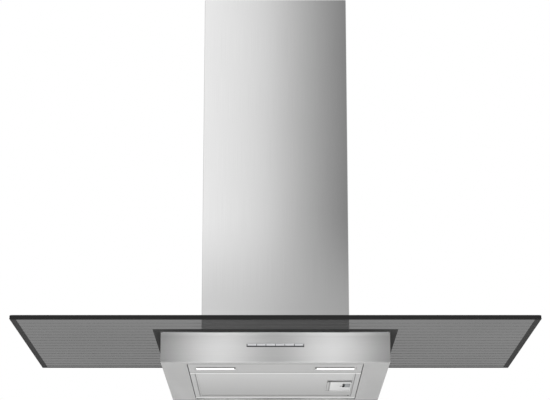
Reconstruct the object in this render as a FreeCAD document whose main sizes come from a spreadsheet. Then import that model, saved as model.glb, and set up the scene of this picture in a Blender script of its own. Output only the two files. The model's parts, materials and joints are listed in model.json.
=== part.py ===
import FreeCAD, Part
import math
import os
import re
import Sketcher

# Wall mount range hood: a steel chimney on a flat glass canopy, with a shallow steel body under it.
# Millimetres. +X is to the right, +Y is into the wall and +Z is up.
# The origin is the centre of the four wall fixings, on the wall's surface.

document = FreeCAD.newDocument("WallHood")
sheet = document.addObject("Spreadsheet::Sheet", "Sizes")

driving_sizes = {
    # Wall fixings, in the back of the motor box
    "FixingHeight": 190,
    "FixingSpacingX": 160,
    "FixingSpacingZ": 120,
    "FixingHoleRadius": 4,
    # Glass canopy
    "GlassWidth": 898,
    "GlassDepth": 450,
    "GlassThickness": 6,
    "GlassWallGap": 50,
    "GlassCornerRadius": 6,
    "NotchClearance": 4,
    # Steel body under the glass
    "CasingWidth": 400,
    "CasingDepth": 389,
    "CasingHeight": 53,
    "CasingSheet": 1,
    "CasingBendRadius": 3,
    "CasingFlange": 18,
    "SideStripWidth": 45.5,
    "CasingReturn": 10,
    "LipHeight": 9,
    "TopPlateSheet": 1.2,
    "TopPlateInset": 2,
    "AirOpeningWidth": 184,
    "AirOpeningDepth": 214,
    "AirOpeningWallGap": 24,
    "GasketThickness": 0.8,
    "GasketWidth": 10,
    "GasketInset": 3,
    # Underside panels
    "PanelSheet": 1,
    "PanelFlange": 8,
    "PanelSideGap": 1.3,
    "PanelEndGap": 0.4,
    "LampPanelDepth": 80,
    "FrontRail": 11.5,
    "RearRail": 15,
    "RearStepHeight": 2.5,
    # Lamps
    "LampOffset": 105,
    "LampSetback": 51.5,
    "LampOpeningLength": 76,
    "LampOpeningWidth": 31,
    "LampFitGap": 0.3,
    "LampHeight": 15,
    "LampRoof": 3,
    "LampFlange": 4,
    "LampFlangeSheet": 1.5,
    "LampRimRecess": 0.5,
    "LensLength": 69,
    "LensWidth": 24,
    "LensShift": 2.5,
    "LensThickness": 3,
    "LensRecess": 1.2,
    "LedBoardLength": 66,
    "LedBoardWidth": 18,
    "LedBoardThickness": 1.6,
    "LedChip": 3.5,
    "LedChipHeight": 0.8,
    "LedCount": 6,
    # Row of keys on the body's face
    "KeyCount": 6,
    "KeyPitch": 16.4,
    "KeyWidth": 15.4,
    "KeyHeight": 3.9,
    "KeyLength": 12,
    "KeyProud": 1.2,
    "KeyTravel": 2,
    "KeyGap": 0.2,
    "KeyBevel": 0.5,
    "StripDrop": 21.3,
    "StripHeight": 6.2,
    "StripRim": 0.6,
    "StripFitGap": 0.25,
    "NoseRecess": 0.2,
    "HolderDepth": 14,
    "HolderHeight": 18,
    "HolderMargin": 5,
    "SwitchBoardThickness": 1.6,
    "SwitchSize": 5,
    # Grease filter
    "FilterWidth": 288,
    "FilterDepth": 240,
    "FilterHeight": 9,
    "FilterSheet": 1,
    "FilterRim": 3,
    "FilterGap": 0.6,
    "FilterHookReach": 4,
    "FilterHookWidth": 22,
    "FilterHookSheet": 1.5,
    "FilterHookSpacing": 150,
    "HookClearance": 0.4,
    "MeshFaceThickness": 0.8,
    "MeshGap": 0.3,
    # Filter grip and latch
    "GripWidth": 45,
    "GripDepth": 112,
    "GripHeight": 7,
    "GripShift": 9,
    "GripWall": 1.5,
    "GripRecess": 1.5,
    "FingerSlotDepth": 9,
    "FingerSlotRise": 5.5,
    "LatchWidth": 9.4,
    "LatchLength": 36,
    "LatchHeight": 3.6,
    "LatchTravel": 4,
    "LatchGap": 0.3,
    "LatchEdgeGap": 2,
    "LatchTongueLength": 14,
    "LatchTongueHeight": 1.8,
    "LatchRibCount": 3,
    "LatchRibWidth": 1.2,
    "LatchRibHeight": 0.8,
    "LatchMarkWidth": 5,
    "LatchSpringSheet": 0.4,
    "LatchSpringLength": 20,
    # Motor box
    "MotorBoxWidth": 216,
    "MotorBoxDepth": 262,
    "MotorBoxHeight": 300,
    "MotorBoxSheet": 1,
    "MotorBoxFlange": 10,
    "MotorBoxBaseSheet": 1.5,
    "CoverGap": 0.2,
    "CoverLip": 8,
    # Blower
    "ScrollAxisWallGap": 110,
    "ScrollAxisRise": 130,
    "ScrollRadius": 112,
    "ScrollStep": 9,
    "ScrollWidth": 104,
    "ScrollWall": 2,
    "ScrollOutlet": 72,
    "ScrollFlange": 7,
    "ScrollSeatGap": 0.2,
    "TongueRadius": 5,
    "InletRadius": 58,
    "ImpellerRadius": 70,
    "ImpellerInnerRadius": 59,
    "ImpellerWidth": 94,
    "ImpellerDisc": 2,
    "ImpellerRing": 2.5,
    "BladeCount": 16,
    "BladeThickness": 0.9,
    "BladeBow": 1.6,
    "BladeLean": 4,
    "HubRadius": 11,
    "HubLength": 14,
    "ShaftRadius": 4,
    "ShaftFitGap": 0.03,
    "BearingGap": 0.05,
    "MotorRadius": 42,
    "MotorLength": 56,
    "MotorDiscGap": 6,
    "BearingBossRadius": 12,
    "BearingBossLength": 5,
    "ArmCount": 3,
    "ArmWidth": 14,
    "ArmReach": 70,
    "ArmSheet": 2.5,
    "NutRadius": 7.5,
    "NutHeight": 5,
    # Duct spigot with its non-return flaps
    "CollarWallGap": 176,
    "CollarRadius": 74.75,
    "CollarWall": 2.25,
    "CollarHeight": 45,
    "CollarFlangeSide": 164,
    "CollarFlangeSheet": 2.5,
    "FlapRise": 14,
    "FlapGap": 0.8,
    "FlapThickness": 1.2,
    "FlapBarrelRadius": 2.8,
    "FlapPinRadius": 1.5,
    "FlapPinGap": 0.05,
    "FlapPinSpacing": 8,
    "FlapStopGap": 0.3,
    "FlapStopWidth": 2,
    "FlapStopLength": 12,
    "FlapStopHeight": 2,
    # Electrics on top of the motor box
    "ControlBoxWidth": 150,
    "ControlBoxDepth": 66,
    "ControlBoxHeight": 40,
    "ControlBoxWall": 2,
    "ControlBoxWallGap": 14,
    "ControlLidThickness": 2,
    "CapacitorDepth": 22,
    "CapacitorHeight": 28,
    "CapacitorLength": 50,
    "TerminalLength": 40,
    "TerminalDepth": 18,
    "TerminalHeight": 16,
    "TerminalCount": 3,
    "DriverLength": 56,
    "DriverDepth": 24,
    "DriverHeight": 20,
    "PartsMargin": 5,
    "GlandRadius": 9,
    "GlandFlangeRadius": 12,
    "GlandBore": 4.5,
    "GlandLength": 18,
    "GlandFlange": 3,
    "GlandHoleGap": 0.1,
    # Chimney
    "ChimneyWidth": 268,
    "ChimneyDepth": 275,
    "ChimneyHeight": 662,
    "ChimneySheet": 0.8,
    "ChimneyBendRadius": 2.5,
    "ChimneyFlange": 15,
    "ChimneySeatGap": 0.3,
    "UpperClearance": 0.6,
    "UpperHeight": 545,
    "UpperDrop": 2,
    "VentLength": 90,
    "VentHeight": 4,
    "VentPitch": 12,
    "VentCount": 6,
    "VentTopGap": 30,
    # Upper chimney's wall bracket
    "BracketWidth": 200,
    "BracketHeight": 40,
    "BracketSheet": 1.5,
    "BracketForward": 24,
    "BracketEar": 30,
    "BracketTopGap": 130,
    "BracketHoleSpacing": 150,
    "BracketHoleRadius": 3,
    "BracketFitGap": 0.3,
    # Brackets between the motor box and the lower chimney
    "StaySheet": 1.5,
    "StayFoot": 26,
    "StayHeight": 40,
    "StayRise": 24,
    "StayWallGap": 120,
    # Glass clamps and screws
    "ClampWidth": 22,
    "ClampLength": 100,
    "ClampRise": 20,
    "ClampSheet": 3,
    "ClampWallGap": 100,
    "ClampHoleRadius": 5,
    "ClampOffset": 121.5,
    "ScrewRadius": 2.5,
    "ScrewHeadRadius": 4.5,
    "ScrewHeadHeight": 3,
    "ScrewHoleGap": 0.2,
    "ScrewOverrun": 4,
    # One overrun for every cut
    "Overrun": 5,
}

for row, (alias, number) in enumerate(driving_sizes.items(), start=1):
    sheet.set("A%d" % row, str(number))
    sheet.setAlias("A%d" % row, alias)
document.recompute()


def sheet_text(text):
    """Turn words such as GlassWidth into references to the sheet."""
    return re.sub(r"\b([A-Z][a-z]\w*)", r"Sizes.\1", text)


def size(text):
    """The present value of an expression of sheet sizes, in millimetres."""
    answer = sheet.evalExpression(sheet_text(text))
    return float(getattr(answer, "Value", answer))


def bind(thing, prop, text):
    thing.setExpression(prop, sheet_text(text))


# Levels and planes that several sub-parts share, written in the sheet's sizes
glass_under = "(-FixingHeight)"
glass_top = "(GlassThickness - FixingHeight)"
plate_top = "(-FixingHeight - GasketThickness)"
casing_top = "(-FixingHeight - GasketThickness - TopPlateSheet)"
underside = "(-FixingHeight - GasketThickness - TopPlateSheet - CasingHeight)"
box_top = "(-FixingHeight - GasketThickness + MotorBoxHeight)"
panel_half = "(CasingWidth / 2 - SideStripWidth - PanelSideGap)"
panel_front = "(-CasingDepth + CasingReturn + PanelEndGap)"
surround_front = "(-CasingDepth + CasingReturn + 2 * PanelEndGap + LampPanelDepth)"
surround_rear = "(-CasingReturn - PanelEndGap)"
filter_front = surround_front[:-1] + " + FrontRail + FilterGap)"
filter_rear = filter_front[:-1] + " + FilterDepth)"
clamp_screw_y = "(-ClampWallGap - ClampLength / 2)"
chimney_foot = "(GlassThickness - FixingHeight + ChimneySeatGap)"
chimney_top = "(GlassThickness - FixingHeight + ChimneyHeight)"
collar_y = "(-CollarWallGap)"
scroll_y = "(-ScrollAxisWallGap)"
impeller_y = "(-ScrollAxisWallGap + ScrollStep / 2)"
impeller_z = "(-FixingHeight - GasketThickness + ScrollAxisRise - ScrollStep / 2)"


def new_body(label, x="0", y="0", z="0"):
    body = document.addObject("PartDesign::Body", label)
    body.Label = label
    place(body, x, y, z)
    document.recompute()
    return body


def place(thing, x="0", y="0", z="0"):
    bind(thing, "Placement.Base.x", x)
    bind(thing, "Placement.Base.y", y)
    bind(thing, "Placement.Base.z", z)


def origin_feature(body, role):
    return [feature for feature in body.Origin.OriginFeatures if feature.Role == role][0]


def new_sketch(body, plane="XY", height="0"):
    sketch = body.newObject("Sketcher::SketchObject", body.Label + "_outline")
    sketch.AttachmentSupport = [(origin_feature(body, plane + "_Plane"), "")]
    sketch.MapMode = "FlatFace"
    bind(sketch, "AttachmentOffset.Base.z", height)
    return sketch


def hold(sketch, kind, *where_and_text):
    """Add one sized constraint and bind it to the sheet."""
    where, text = where_and_text[:-1], where_and_text[-1]
    number = sketch.addConstraint(Sketcher.Constraint(kind, *where, size(text)))
    bind(sketch, "Constraints[%d]" % number, text)


def rectangle(sketch, x0, x1, y0, y1):
    corners = [FreeCAD.Vector(size(x), size(y), 0) for x, y in ((x0, y0), (x1, y0), (x1, y1), (x0, y1))]
    first = sketch.GeometryCount
    for number in range(4):
        sketch.addGeometry(Part.LineSegment(corners[number], corners[(number + 1) % 4]))
    for number in range(4):
        following = first + (number + 1) % 4
        sketch.addConstraint(Sketcher.Constraint("Coincident", first + number, 2, following, 1))
        level = "Horizontal" if number % 2 == 0 else "Vertical"
        sketch.addConstraint(Sketcher.Constraint(level, first + number))
    hold(sketch, "DistanceX", -1, 1, first, 1, x0)
    hold(sketch, "DistanceY", -1, 1, first, 1, y0)
    hold(sketch, "DistanceX", -1, 1, first + 2, 1, x1)
    hold(sketch, "DistanceY", -1, 1, first + 2, 1, y1)


def circle(sketch, x, y, radius):
    centre = FreeCAD.Vector(size(x), size(y), 0)
    number = sketch.addGeometry(Part.Circle(centre, FreeCAD.Vector(0, 0, 1), size(radius)))
    hold(sketch, "Radius", number, radius)
    hold(sketch, "DistanceX", -1, 1, number, 3, x)
    hold(sketch, "DistanceY", -1, 1, number, 3, y)


def profile(sketch, points):
    """A closed outline through points that are written in the sheet's sizes."""
    corners = [FreeCAD.Vector(size(x), size(y), 0) for x, y in points]
    count = len(corners)
    first = sketch.GeometryCount
    for number in range(count):
        sketch.addGeometry(Part.LineSegment(corners[number], corners[(number + 1) % count]))
    for number in range(count):
        following = first + (number + 1) % count
        sketch.addConstraint(Sketcher.Constraint("Coincident", first + number, 2, following, 1))
        hold(sketch, "DistanceX", -1, 1, first + number, 1, points[number][0])
        hold(sketch, "DistanceY", -1, 1, first + number, 1, points[number][1])


def pad(body, sketch, length, back=False, both=False):
    feature = body.newObject("PartDesign::Pad", body.Label + "_pad")
    feature.Profile = sketch
    bind(feature, "Length", length)
    feature.Reversed = back
    feature.Midplane = both
    document.recompute()
    return feature


def pocket(body, sketch, length, back=False, both=False):
    before = body.Tip.Shape.Volume
    feature = body.newObject("PartDesign::Pocket", body.Label + "_pocket")
    feature.Profile = sketch
    bind(feature, "Length", length)
    feature.Reversed = back
    feature.Midplane = both
    document.recompute()
    if not feature.Shape.Volume < before:
        raise ValueError("a pocket cuts nothing in " + body.Label)
    return feature


def edge_names(shape, wanted):
    return ["Edge%d" % number for number, edge in enumerate(shape.Edges, start=1) if wanted(edge)]


def face_names(shape, wanted):
    return ["Face%d" % number for number, face in enumerate(shape.Faces, start=1) if wanted(face)]


def along(edge, axis):
    """True where a straight edge runs along the axis."""
    if len(edge.Vertexes) != 2 or not isinstance(edge.Curve, (Part.Line, Part.LineSegment)):
        return False
    direction = edge.Vertexes[1].Point - edge.Vertexes[0].Point
    return abs(abs(direction.normalize().dot(axis)) - 1) < 1e-6


def near(value, text):
    return abs(value - size(text)) < 1e-4


def soften(body, kind, prop, amount, wanted):
    """A fillet or chamfer on the edges that are wanted."""
    base = body.Tip
    feature = body.newObject("PartDesign::" + kind, body.Label + "_" + kind.lower())
    feature.Base = (base, edge_names(base.Shape, wanted))
    bind(feature, prop, amount)
    document.recompute()
    return feature


def fillet(body, radius, wanted):
    return soften(body, "Fillet", "Radius", radius, wanted)


def chamfer(body, width, wanted):
    return soften(body, "Chamfer", "Size", width, wanted)


def hollow(body, wall, open_faces):
    """Turn a solid into a sheet-metal or moulded shell, open at the faces that are wanted."""
    base = body.Tip
    feature = body.newObject("PartDesign::Thickness", body.Label + "_sheet")
    feature.Base = (base, face_names(base.Shape, open_faces))
    feature.Reversed = True
    bind(feature, "Value", wall)
    document.recompute()
    return feature


def repeat(body, originals, axis_role, count, length):
    feature = body.newObject("PartDesign::LinearPattern", body.Label + "_row")
    feature.Originals = originals
    feature.Direction = (origin_feature(body, axis_role), [""])
    bind(feature, "Length", length)
    bind(feature, "Occurrences", count)
    body.Tip = feature
    document.recompute()
    return feature


def repeat_round(body, originals, axis_role, count):
    feature = body.newObject("PartDesign::PolarPattern", body.Label + "_ring")
    feature.Originals = originals
    feature.Axis = (origin_feature(body, axis_role), [""])
    feature.Angle = 360
    bind(feature, "Occurrences", count)
    body.Tip = feature
    document.recompute()
    return feature


axis_x = FreeCAD.Vector(1, 0, 0)
axis_y = FreeCAD.Vector(0, 1, 0)
axis_z = FreeCAD.Vector(0, 0, 1)


# Glass canopy, notched at the rear for the motor box

def make_glass():
    body = new_body("glass_canopy", z=glass_under)
    sketch = new_sketch(body)
    rectangle(sketch, "-GlassWidth / 2", "GlassWidth / 2", "-GlassWallGap - GlassDepth", "-GlassWallGap")
    pad(body, sketch, "GlassThickness")
    fillet(body, "GlassCornerRadius", lambda edge: along(edge, axis_z))
    notch = new_sketch(body)
    notch_half = "MotorBoxWidth / 2 + NotchClearance"
    rectangle(notch, "-" + notch_half.replace("+", "-"), notch_half,
              "-MotorBoxDepth - NotchClearance", "Overrun - GlassWallGap")
    pocket(body, notch, "GlassThickness", back=True)
    holes = new_sketch(body)
    for side in ("-", ""):
        circle(holes, side + "ClampOffset", clamp_screw_y, "ClampHoleRadius")
    pocket(body, holes, "GlassThickness", back=True)


def make_gasket():
    body = new_body("glass_gasket", z=plate_top)
    sketch = new_sketch(body)
    half = "(CasingWidth / 2 - GasketInset)"
    inner = "(CasingWidth / 2 - GasketInset - GasketWidth)"
    front = "-CasingDepth + GasketInset"
    rear = "-GlassWallGap - GasketInset"
    profile(sketch, [
        ("-" + half, rear), ("-" + half, front), (half, front), (half, rear), (inner, rear),
        (inner, front + " + GasketWidth"), ("-" + inner, front + " + GasketWidth"), ("-" + inner, rear)])
    pad(body, sketch, "GasketThickness")


# Folded steel body

def make_casing():
    body = new_body("body_casing", z=underside)
    sketch = new_sketch(body)
    rectangle(sketch, "-CasingWidth / 2", "CasingWidth / 2", "-CasingDepth", "0")
    pad(body, sketch, "CasingHeight")

    def bends(edge):
        middle = edge.CenterOfMass
        return near(middle.z, "0") and not near(middle.y, "0")

    fillet(body, "CasingBendRadius", bends)
    hollow(body, "CasingSheet", lambda face: near(face.CenterOfMass.z, "CasingHeight"))

    flange = new_sketch(body, height="CasingHeight - CasingSheet")
    half = "CasingWidth / 2 - CasingSheet / 2"
    inner = "CasingWidth / 2 - CasingFlange"
    rectangle(flange, "-(" + half + ")", half, "-CasingDepth + CasingSheet / 2", "-CasingSheet / 2")
    rectangle(flange, "-(" + inner + ")", inner, "-CasingDepth + CasingFlange", "-CasingFlange")
    pad(body, flange, "CasingSheet")

    strip_edge = "CasingWidth / 2 - SideStripWidth"
    opening = new_sketch(body)
    rectangle(opening, "-(" + strip_edge + ")", strip_edge,
              "-CasingDepth + CasingReturn", "-CasingReturn")
    pocket(body, opening, "CasingSheet + Overrun", back=True)

    lips = new_sketch(body, height="CasingSheet / 2")
    lip_edge = strip_edge + " + CasingSheet"
    rectangle(lips, "-(" + lip_edge + ")", lip_edge,
              "-CasingDepth + CasingReturn - CasingSheet", "-CasingReturn + CasingSheet")
    rectangle(lips, "-(" + strip_edge + ")", strip_edge,
              "-CasingDepth + CasingReturn", "-CasingReturn")
    pad(body, lips, "LipHeight")

    slot = new_sketch(body, plane="XZ", height="CasingDepth")
    slot_half = "KeyCount * KeyPitch / 2 + StripRim + StripFitGap"
    slot_middle = "CasingHeight - StripDrop"
    slot_rise = "StripHeight / 2 + StripFitGap"
    rectangle(slot, "-(" + slot_half + ")", slot_half,
              slot_middle + " - (" + slot_rise + ")", slot_middle + " + " + slot_rise)
    pocket(body, slot, "CasingSheet + Overrun")


def make_top_plate():
    body = new_body("top_plate", z=casing_top)
    sketch = new_sketch(body)
    half = "CasingWidth / 2 - TopPlateInset"
    rectangle(sketch, "-(" + half + ")", half, "-CasingDepth + TopPlateInset", "-TopPlateInset")
    rectangle(sketch, "-AirOpeningWidth / 2", "AirOpeningWidth / 2",
              "-AirOpeningWallGap - AirOpeningDepth", "-AirOpeningWallGap")
    for side in ("-", ""):
        circle(sketch, side + "ClampOffset", clamp_screw_y, "ScrewRadius + ScrewHoleGap")
    pad(body, sketch, "TopPlateSheet")


# Underside panels

def make_lamp_panel():
    body = new_body("lamp_panel", z=underside)
    sketch = new_sketch(body)
    rear = panel_front + " + LampPanelDepth"
    rectangle(sketch, "-" + panel_half, panel_half, panel_front, rear)
    pad(body, sketch, "PanelFlange")
    hollow(body, "PanelSheet", lambda face: near(face.CenterOfMass.z, "PanelFlange"))
    openings = new_sketch(body)
    half = "LampOpeningLength / 2"
    for side in ("-", ""):
        rectangle(openings, side + "LampOffset - " + half, side + "LampOffset + " + half,
                  "-CasingDepth + LampSetback - LampOpeningWidth / 2",
                  "-CasingDepth + LampSetback + LampOpeningWidth / 2")
    pocket(body, openings, "PanelSheet + Overrun", back=True)


def make_filter_surround():
    body = new_body("filter_surround", z=underside)
    step = "(" + filter_rear + " + FilterGap + RearRail)"
    sketch = new_sketch(body)
    rectangle(sketch, "-" + panel_half, panel_half, surround_front, surround_rear)
    opening_half = "FilterWidth / 2 + FilterGap"
    rectangle(sketch, "-(" + opening_half + ")", opening_half,
              filter_front + " - FilterGap", filter_rear + " + FilterGap")
    pad(body, sketch, "PanelSheet")
    raised = new_sketch(body)
    rectangle(raised, "-" + panel_half, panel_half, step, surround_rear)
    pad(body, raised, "RearStepHeight + PanelSheet")
    under_step = new_sketch(body)
    rectangle(under_step, "-" + panel_half + " - Overrun", panel_half + " + Overrun",
              step + " + PanelSheet", surround_rear + " + Overrun")
    pocket(body, under_step, "RearStepHeight", back=True)
    flanges = new_sketch(body, height="PanelSheet / 2")
    for outer, inner in (("-" + panel_half, "-" + panel_half + " + PanelSheet"),
                         (panel_half + " - PanelSheet", panel_half)):
        rectangle(flanges, outer, inner, surround_front, surround_rear)
    pad(body, flanges, "PanelFlange - PanelSheet / 2")
    front_flange = new_sketch(body, height="PanelSheet / 2")
    rectangle(front_flange, "-" + panel_half + " + PanelSheet / 2", panel_half + " - PanelSheet / 2",
              surround_front, surround_front + " + PanelSheet")
    pad(body, front_flange, "PanelFlange - PanelSheet / 2")


# Lamps: a dark tray in the panel's opening, a board of diodes and a frosted lens

lens_x = "LensLength / 2"
lens_y0 = "LensShift - LensWidth / 2"
lens_y1 = "LensShift + LensWidth / 2"


def make_lamp(side, sign):
    x = sign + "LampOffset"
    y = "-CasingDepth + LampSetback"

    housing = new_body("lamp_housing_" + side, x, y, underside + " + LampRimRecess")
    sketch = new_sketch(housing)
    half_x = "LampOpeningLength / 2 - LampFitGap"
    half_y = "LampOpeningWidth / 2 - LampFitGap"
    rectangle(sketch, "-(" + half_x + ")", half_x, "-(" + half_y + ")", half_y)
    pad(housing, sketch, "LampHeight")
    flange = new_sketch(housing, height="PanelSheet - LampRimRecess")
    rectangle(flange, "-(" + half_x + " + LampFlange)", half_x + " + LampFlange",
              "-(" + half_y + " + LampFlange)", half_y + " + LampFlange")
    pad(housing, flange, "LampFlangeSheet")
    mouth = new_sketch(housing)
    rectangle(mouth, "-" + lens_x + " - LampFitGap", lens_x + " + LampFitGap",
              lens_y0 + " - LampFitGap", lens_y1 + " + LampFitGap")
    pocket(housing, mouth, "LampHeight - LampRoof", back=True)

    board = new_body("led_strip_" + side, x, y, underside + " + LampRimRecess + LampHeight - LampRoof")
    sketch = new_sketch(board)
    rectangle(sketch, "-LedBoardLength / 2", "LedBoardLength / 2",
              "LensShift - LedBoardWidth / 2", "LensShift + LedBoardWidth / 2")
    pad(board, sketch, "LedBoardThickness", back=True)
    chip = new_sketch(board, height="-LedBoardThickness / 2")
    first = "-LedBoardLength / 2 + LedChip"
    rectangle(chip, first, first + " + LedChip", "LensShift - LedChip / 2", "LensShift + LedChip / 2")
    chips = pad(board, chip, "LedBoardThickness / 2 + LedChipHeight", back=True)
    repeat(board, [chips], "X_Axis", "LedCount", "LedBoardLength - 3 * LedChip")

    lens = new_body("lamp_lens_" + side, x, y, underside + " + LampRimRecess + LensRecess")
    sketch = new_sketch(lens)
    rectangle(sketch, "-" + lens_x, lens_x, lens_y0, lens_y1)
    pad(lens, sketch, "LensThickness")


# Row of six push keys in a dark holder, with their switch board

key_row_start = "(-(KeyCount - 1) * KeyPitch / 2)"
strip_z = "(" + casing_top + " - StripDrop)"
key_middle = "(StripHeight / 2 - StripRim - KeyGap - KeyHeight / 2)"


def make_switch_holder():
    body = new_body("switch_holder", y="-CasingDepth + CasingSheet", z=strip_z)
    sketch = new_sketch(body, plane="XZ")
    block_half = "KeyCount * KeyPitch / 2 + HolderMargin"
    rectangle(sketch, "-(" + block_half + ")", block_half, "-HolderHeight / 2", "HolderHeight / 2")
    pad(body, sketch, "HolderDepth", back=True)
    nose = new_sketch(body, plane="XZ", height="CasingSheet - NoseRecess")
    nose_half = "KeyCount * KeyPitch / 2 + StripRim"
    rectangle(nose, "-(" + nose_half + ")", nose_half, "-StripHeight / 2", "StripHeight / 2")
    pad(body, nose, "CasingSheet - NoseRecess + HolderDepth / 2", back=True)
    key_way = new_sketch(body, plane="XZ", height="CasingSheet + Overrun")
    rectangle(key_way, key_row_start + " - KeyWidth / 2 - KeyGap", key_row_start + " + KeyWidth / 2 + KeyGap",
              key_middle + " - KeyHeight / 2 - KeyGap", key_middle + " + KeyHeight / 2 + KeyGap")
    way = pocket(body, key_way, "CasingSheet + HolderDepth + 2 * Overrun")
    repeat(body, [way], "X_Axis", "KeyCount", "(KeyCount - 1) * KeyPitch")


def make_keys():
    for number in range(int(size("KeyCount"))):
        x = key_row_start + " + %d * KeyPitch" % number
        key = new_body("key_%d" % (number + 1), x, "-CasingDepth - KeyProud", strip_z + " + " + key_middle)
        sketch = new_sketch(key, plane="XZ")
        rectangle(sketch, "-KeyWidth / 2", "KeyWidth / 2", "-KeyHeight / 2", "KeyHeight / 2")
        pad(key, sketch, "KeyLength", back=True)
        chamfer(key, "KeyBevel", lambda edge: near(edge.BoundBox.YMax, "0"))


def make_switch_board():
    body = new_body("switch_board", y="-CasingDepth + CasingSheet + HolderDepth", z=strip_z)
    sketch = new_sketch(body, plane="XZ")
    half = "KeyCount * KeyPitch / 2 + HolderMargin"
    rectangle(sketch, "-(" + half + ")", half, "-HolderHeight / 2", "HolderHeight / 2")
    pad(body, sketch, "SwitchBoardThickness", back=True)
    switch = new_sketch(body, plane="XZ", height="-SwitchBoardThickness / 2")
    rectangle(switch, key_row_start + " - SwitchSize / 2", key_row_start + " + SwitchSize / 2",
              key_middle + " - KeyHeight / 2", key_middle + " + KeyHeight / 2")
    room = "CasingSheet + HolderDepth + KeyProud - KeyLength - KeyTravel - KeyGap"
    switches = pad(body, switch, "SwitchBoardThickness / 2 + " + room)
    repeat(body, [switches], "X_Axis", "KeyCount", "(KeyCount - 1) * KeyPitch")


# Grease filter: a channel frame with a face mesh, mesh layers, a grip and a sprung latch

grip_x1 = "(FilterWidth / 2 - FilterRim - MeshGap)"
grip_x0 = "(FilterWidth / 2 - FilterRim - MeshGap - GripWidth)"
grip_middle = "(FilterDepth / 2 + GripShift)"
latch_x1 = "(FilterWidth / 2 - FilterRim - MeshGap - LatchEdgeGap)"
latch_x0 = "(FilterWidth / 2 - FilterRim - MeshGap - LatchEdgeGap - LatchWidth)"


def make_filter_frame():
    body = new_body("filter_frame", y=filter_front, z=underside)
    half = "FilterWidth / 2"
    sketch = new_sketch(body)
    rectangle(sketch, "-" + half, half, "0", "FilterDepth")
    rectangle(sketch, "-" + half + " + FilterRim", half + " - FilterRim",
              "FilterRim", "FilterDepth - FilterRim")
    pad(body, sketch, "FilterHeight")
    channel = new_sketch(body, height="FilterSheet")
    rectangle(channel, "-" + half + " + FilterSheet", half + " - FilterSheet",
              "FilterSheet", "FilterDepth - FilterSheet")
    pocket(body, channel, "FilterHeight - 2 * FilterSheet", back=True)
    tongue_way = new_sketch(body, height="GripRecess + LatchGap")
    rectangle(tongue_way, half + " - FilterRim - Overrun", half + " + Overrun",
              grip_middle + " - LatchTongueLength / 2 - LatchGap",
              grip_middle + " + LatchTongueLength / 2 + LatchGap")
    pocket(body, tongue_way, "LatchHeight + 2 * LatchGap", back=True)
    for side in ("-", "+"):
        hook = new_sketch(body, height="PanelSheet + HookClearance")
        middle = "FilterDepth / 2 " + side + " FilterHookSpacing / 2"
        rectangle(hook, "-" + half + " - FilterHookReach", "-" + half + " + FilterSheet / 2",
                  middle + " - FilterHookWidth / 2", middle + " + FilterHookWidth / 2")
        pad(body, hook, "FilterHookSheet")


def mesh_outline(sketch, edge):
    half = "FilterWidth / 2 - FilterSheet - " + edge
    rectangle(sketch, "-(" + half + ")", half,
              "FilterSheet + " + edge, "FilterDepth - FilterSheet - " + edge)


def cut_grip_way(body, length):
    way = new_sketch(body)
    rectangle(way, grip_x0 + " - MeshGap", "FilterWidth / 2",
              grip_middle + " - GripDepth / 2 - MeshGap", grip_middle + " + GripDepth / 2 + MeshGap")
    pocket(body, way, length, back=True)


def make_filter_meshes():
    face = new_body("filter_face_mesh", y=filter_front, z=underside + " + FilterSheet")
    sketch = new_sketch(face)
    mesh_outline(sketch, "MeshGap")
    pad(face, sketch, "MeshFaceThickness")
    cut_grip_way(face, "MeshFaceThickness")
    pack = new_body("filter_mesh_pack", y=filter_front, z=underside + " + FilterSheet + MeshFaceThickness")
    sketch = new_sketch(pack)
    mesh_outline(sketch, "MeshGap")
    pad(pack, sketch, "FilterHeight - 2 * FilterSheet - MeshFaceThickness - MeshGap")
    cut_grip_way(pack, "FilterHeight")


def make_filter_grip():
    body = new_body("filter_grip", y=filter_front, z=underside)
    front = "(" + grip_middle + " - GripDepth / 2)"
    rear = "(" + grip_middle + " + GripDepth / 2)"
    sketch = new_sketch(body, height="GripRecess / 4")
    rectangle(sketch, grip_x0, grip_x1, front, rear)
    pad(body, sketch, "GripHeight")
    recess = new_sketch(body)
    rectangle(recess, grip_x0 + " + GripWall", grip_x1 + " - GripWall",
              front + " + GripWall", rear + " - GripWall")
    pocket(body, recess, "GripRecess", back=True)
    finger = new_sketch(body)
    rectangle(finger, grip_x0 + " + GripWall", grip_x1 + " - GripWall",
              front + " + GripWall", front + " + GripWall + FingerSlotDepth")
    pocket(body, finger, "FingerSlotRise", back=True)
    window = new_sketch(body)
    rectangle(window, latch_x0 + " - LatchTravel - LatchGap", latch_x1 + " + LatchGap",
              grip_middle + " - LatchLength / 2 - LatchGap", grip_middle + " + LatchLength / 2 + LatchGap")
    pocket(body, window, "GripRecess + LatchHeight + LatchGap", back=True)
    mark = new_sketch(body)
    rectangle(mark, latch_x0 + " - LatchTravel - LatchGap - LatchMarkWidth", latch_x0 + " - LatchTravel",
              grip_middle + " + LatchMarkWidth", grip_middle + " + 2 * LatchMarkWidth")
    pocket(body, mark, "2 * GripRecess", back=True)
    tongue_way = new_sketch(body, height="GripRecess + LatchGap")
    rectangle(tongue_way, latch_x1, grip_x1 + " + Overrun",
              grip_middle + " - LatchTongueLength / 2 - LatchGap",
              grip_middle + " + LatchTongueLength / 2 + LatchGap")
    pocket(body, tongue_way, "LatchHeight", back=True)


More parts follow.
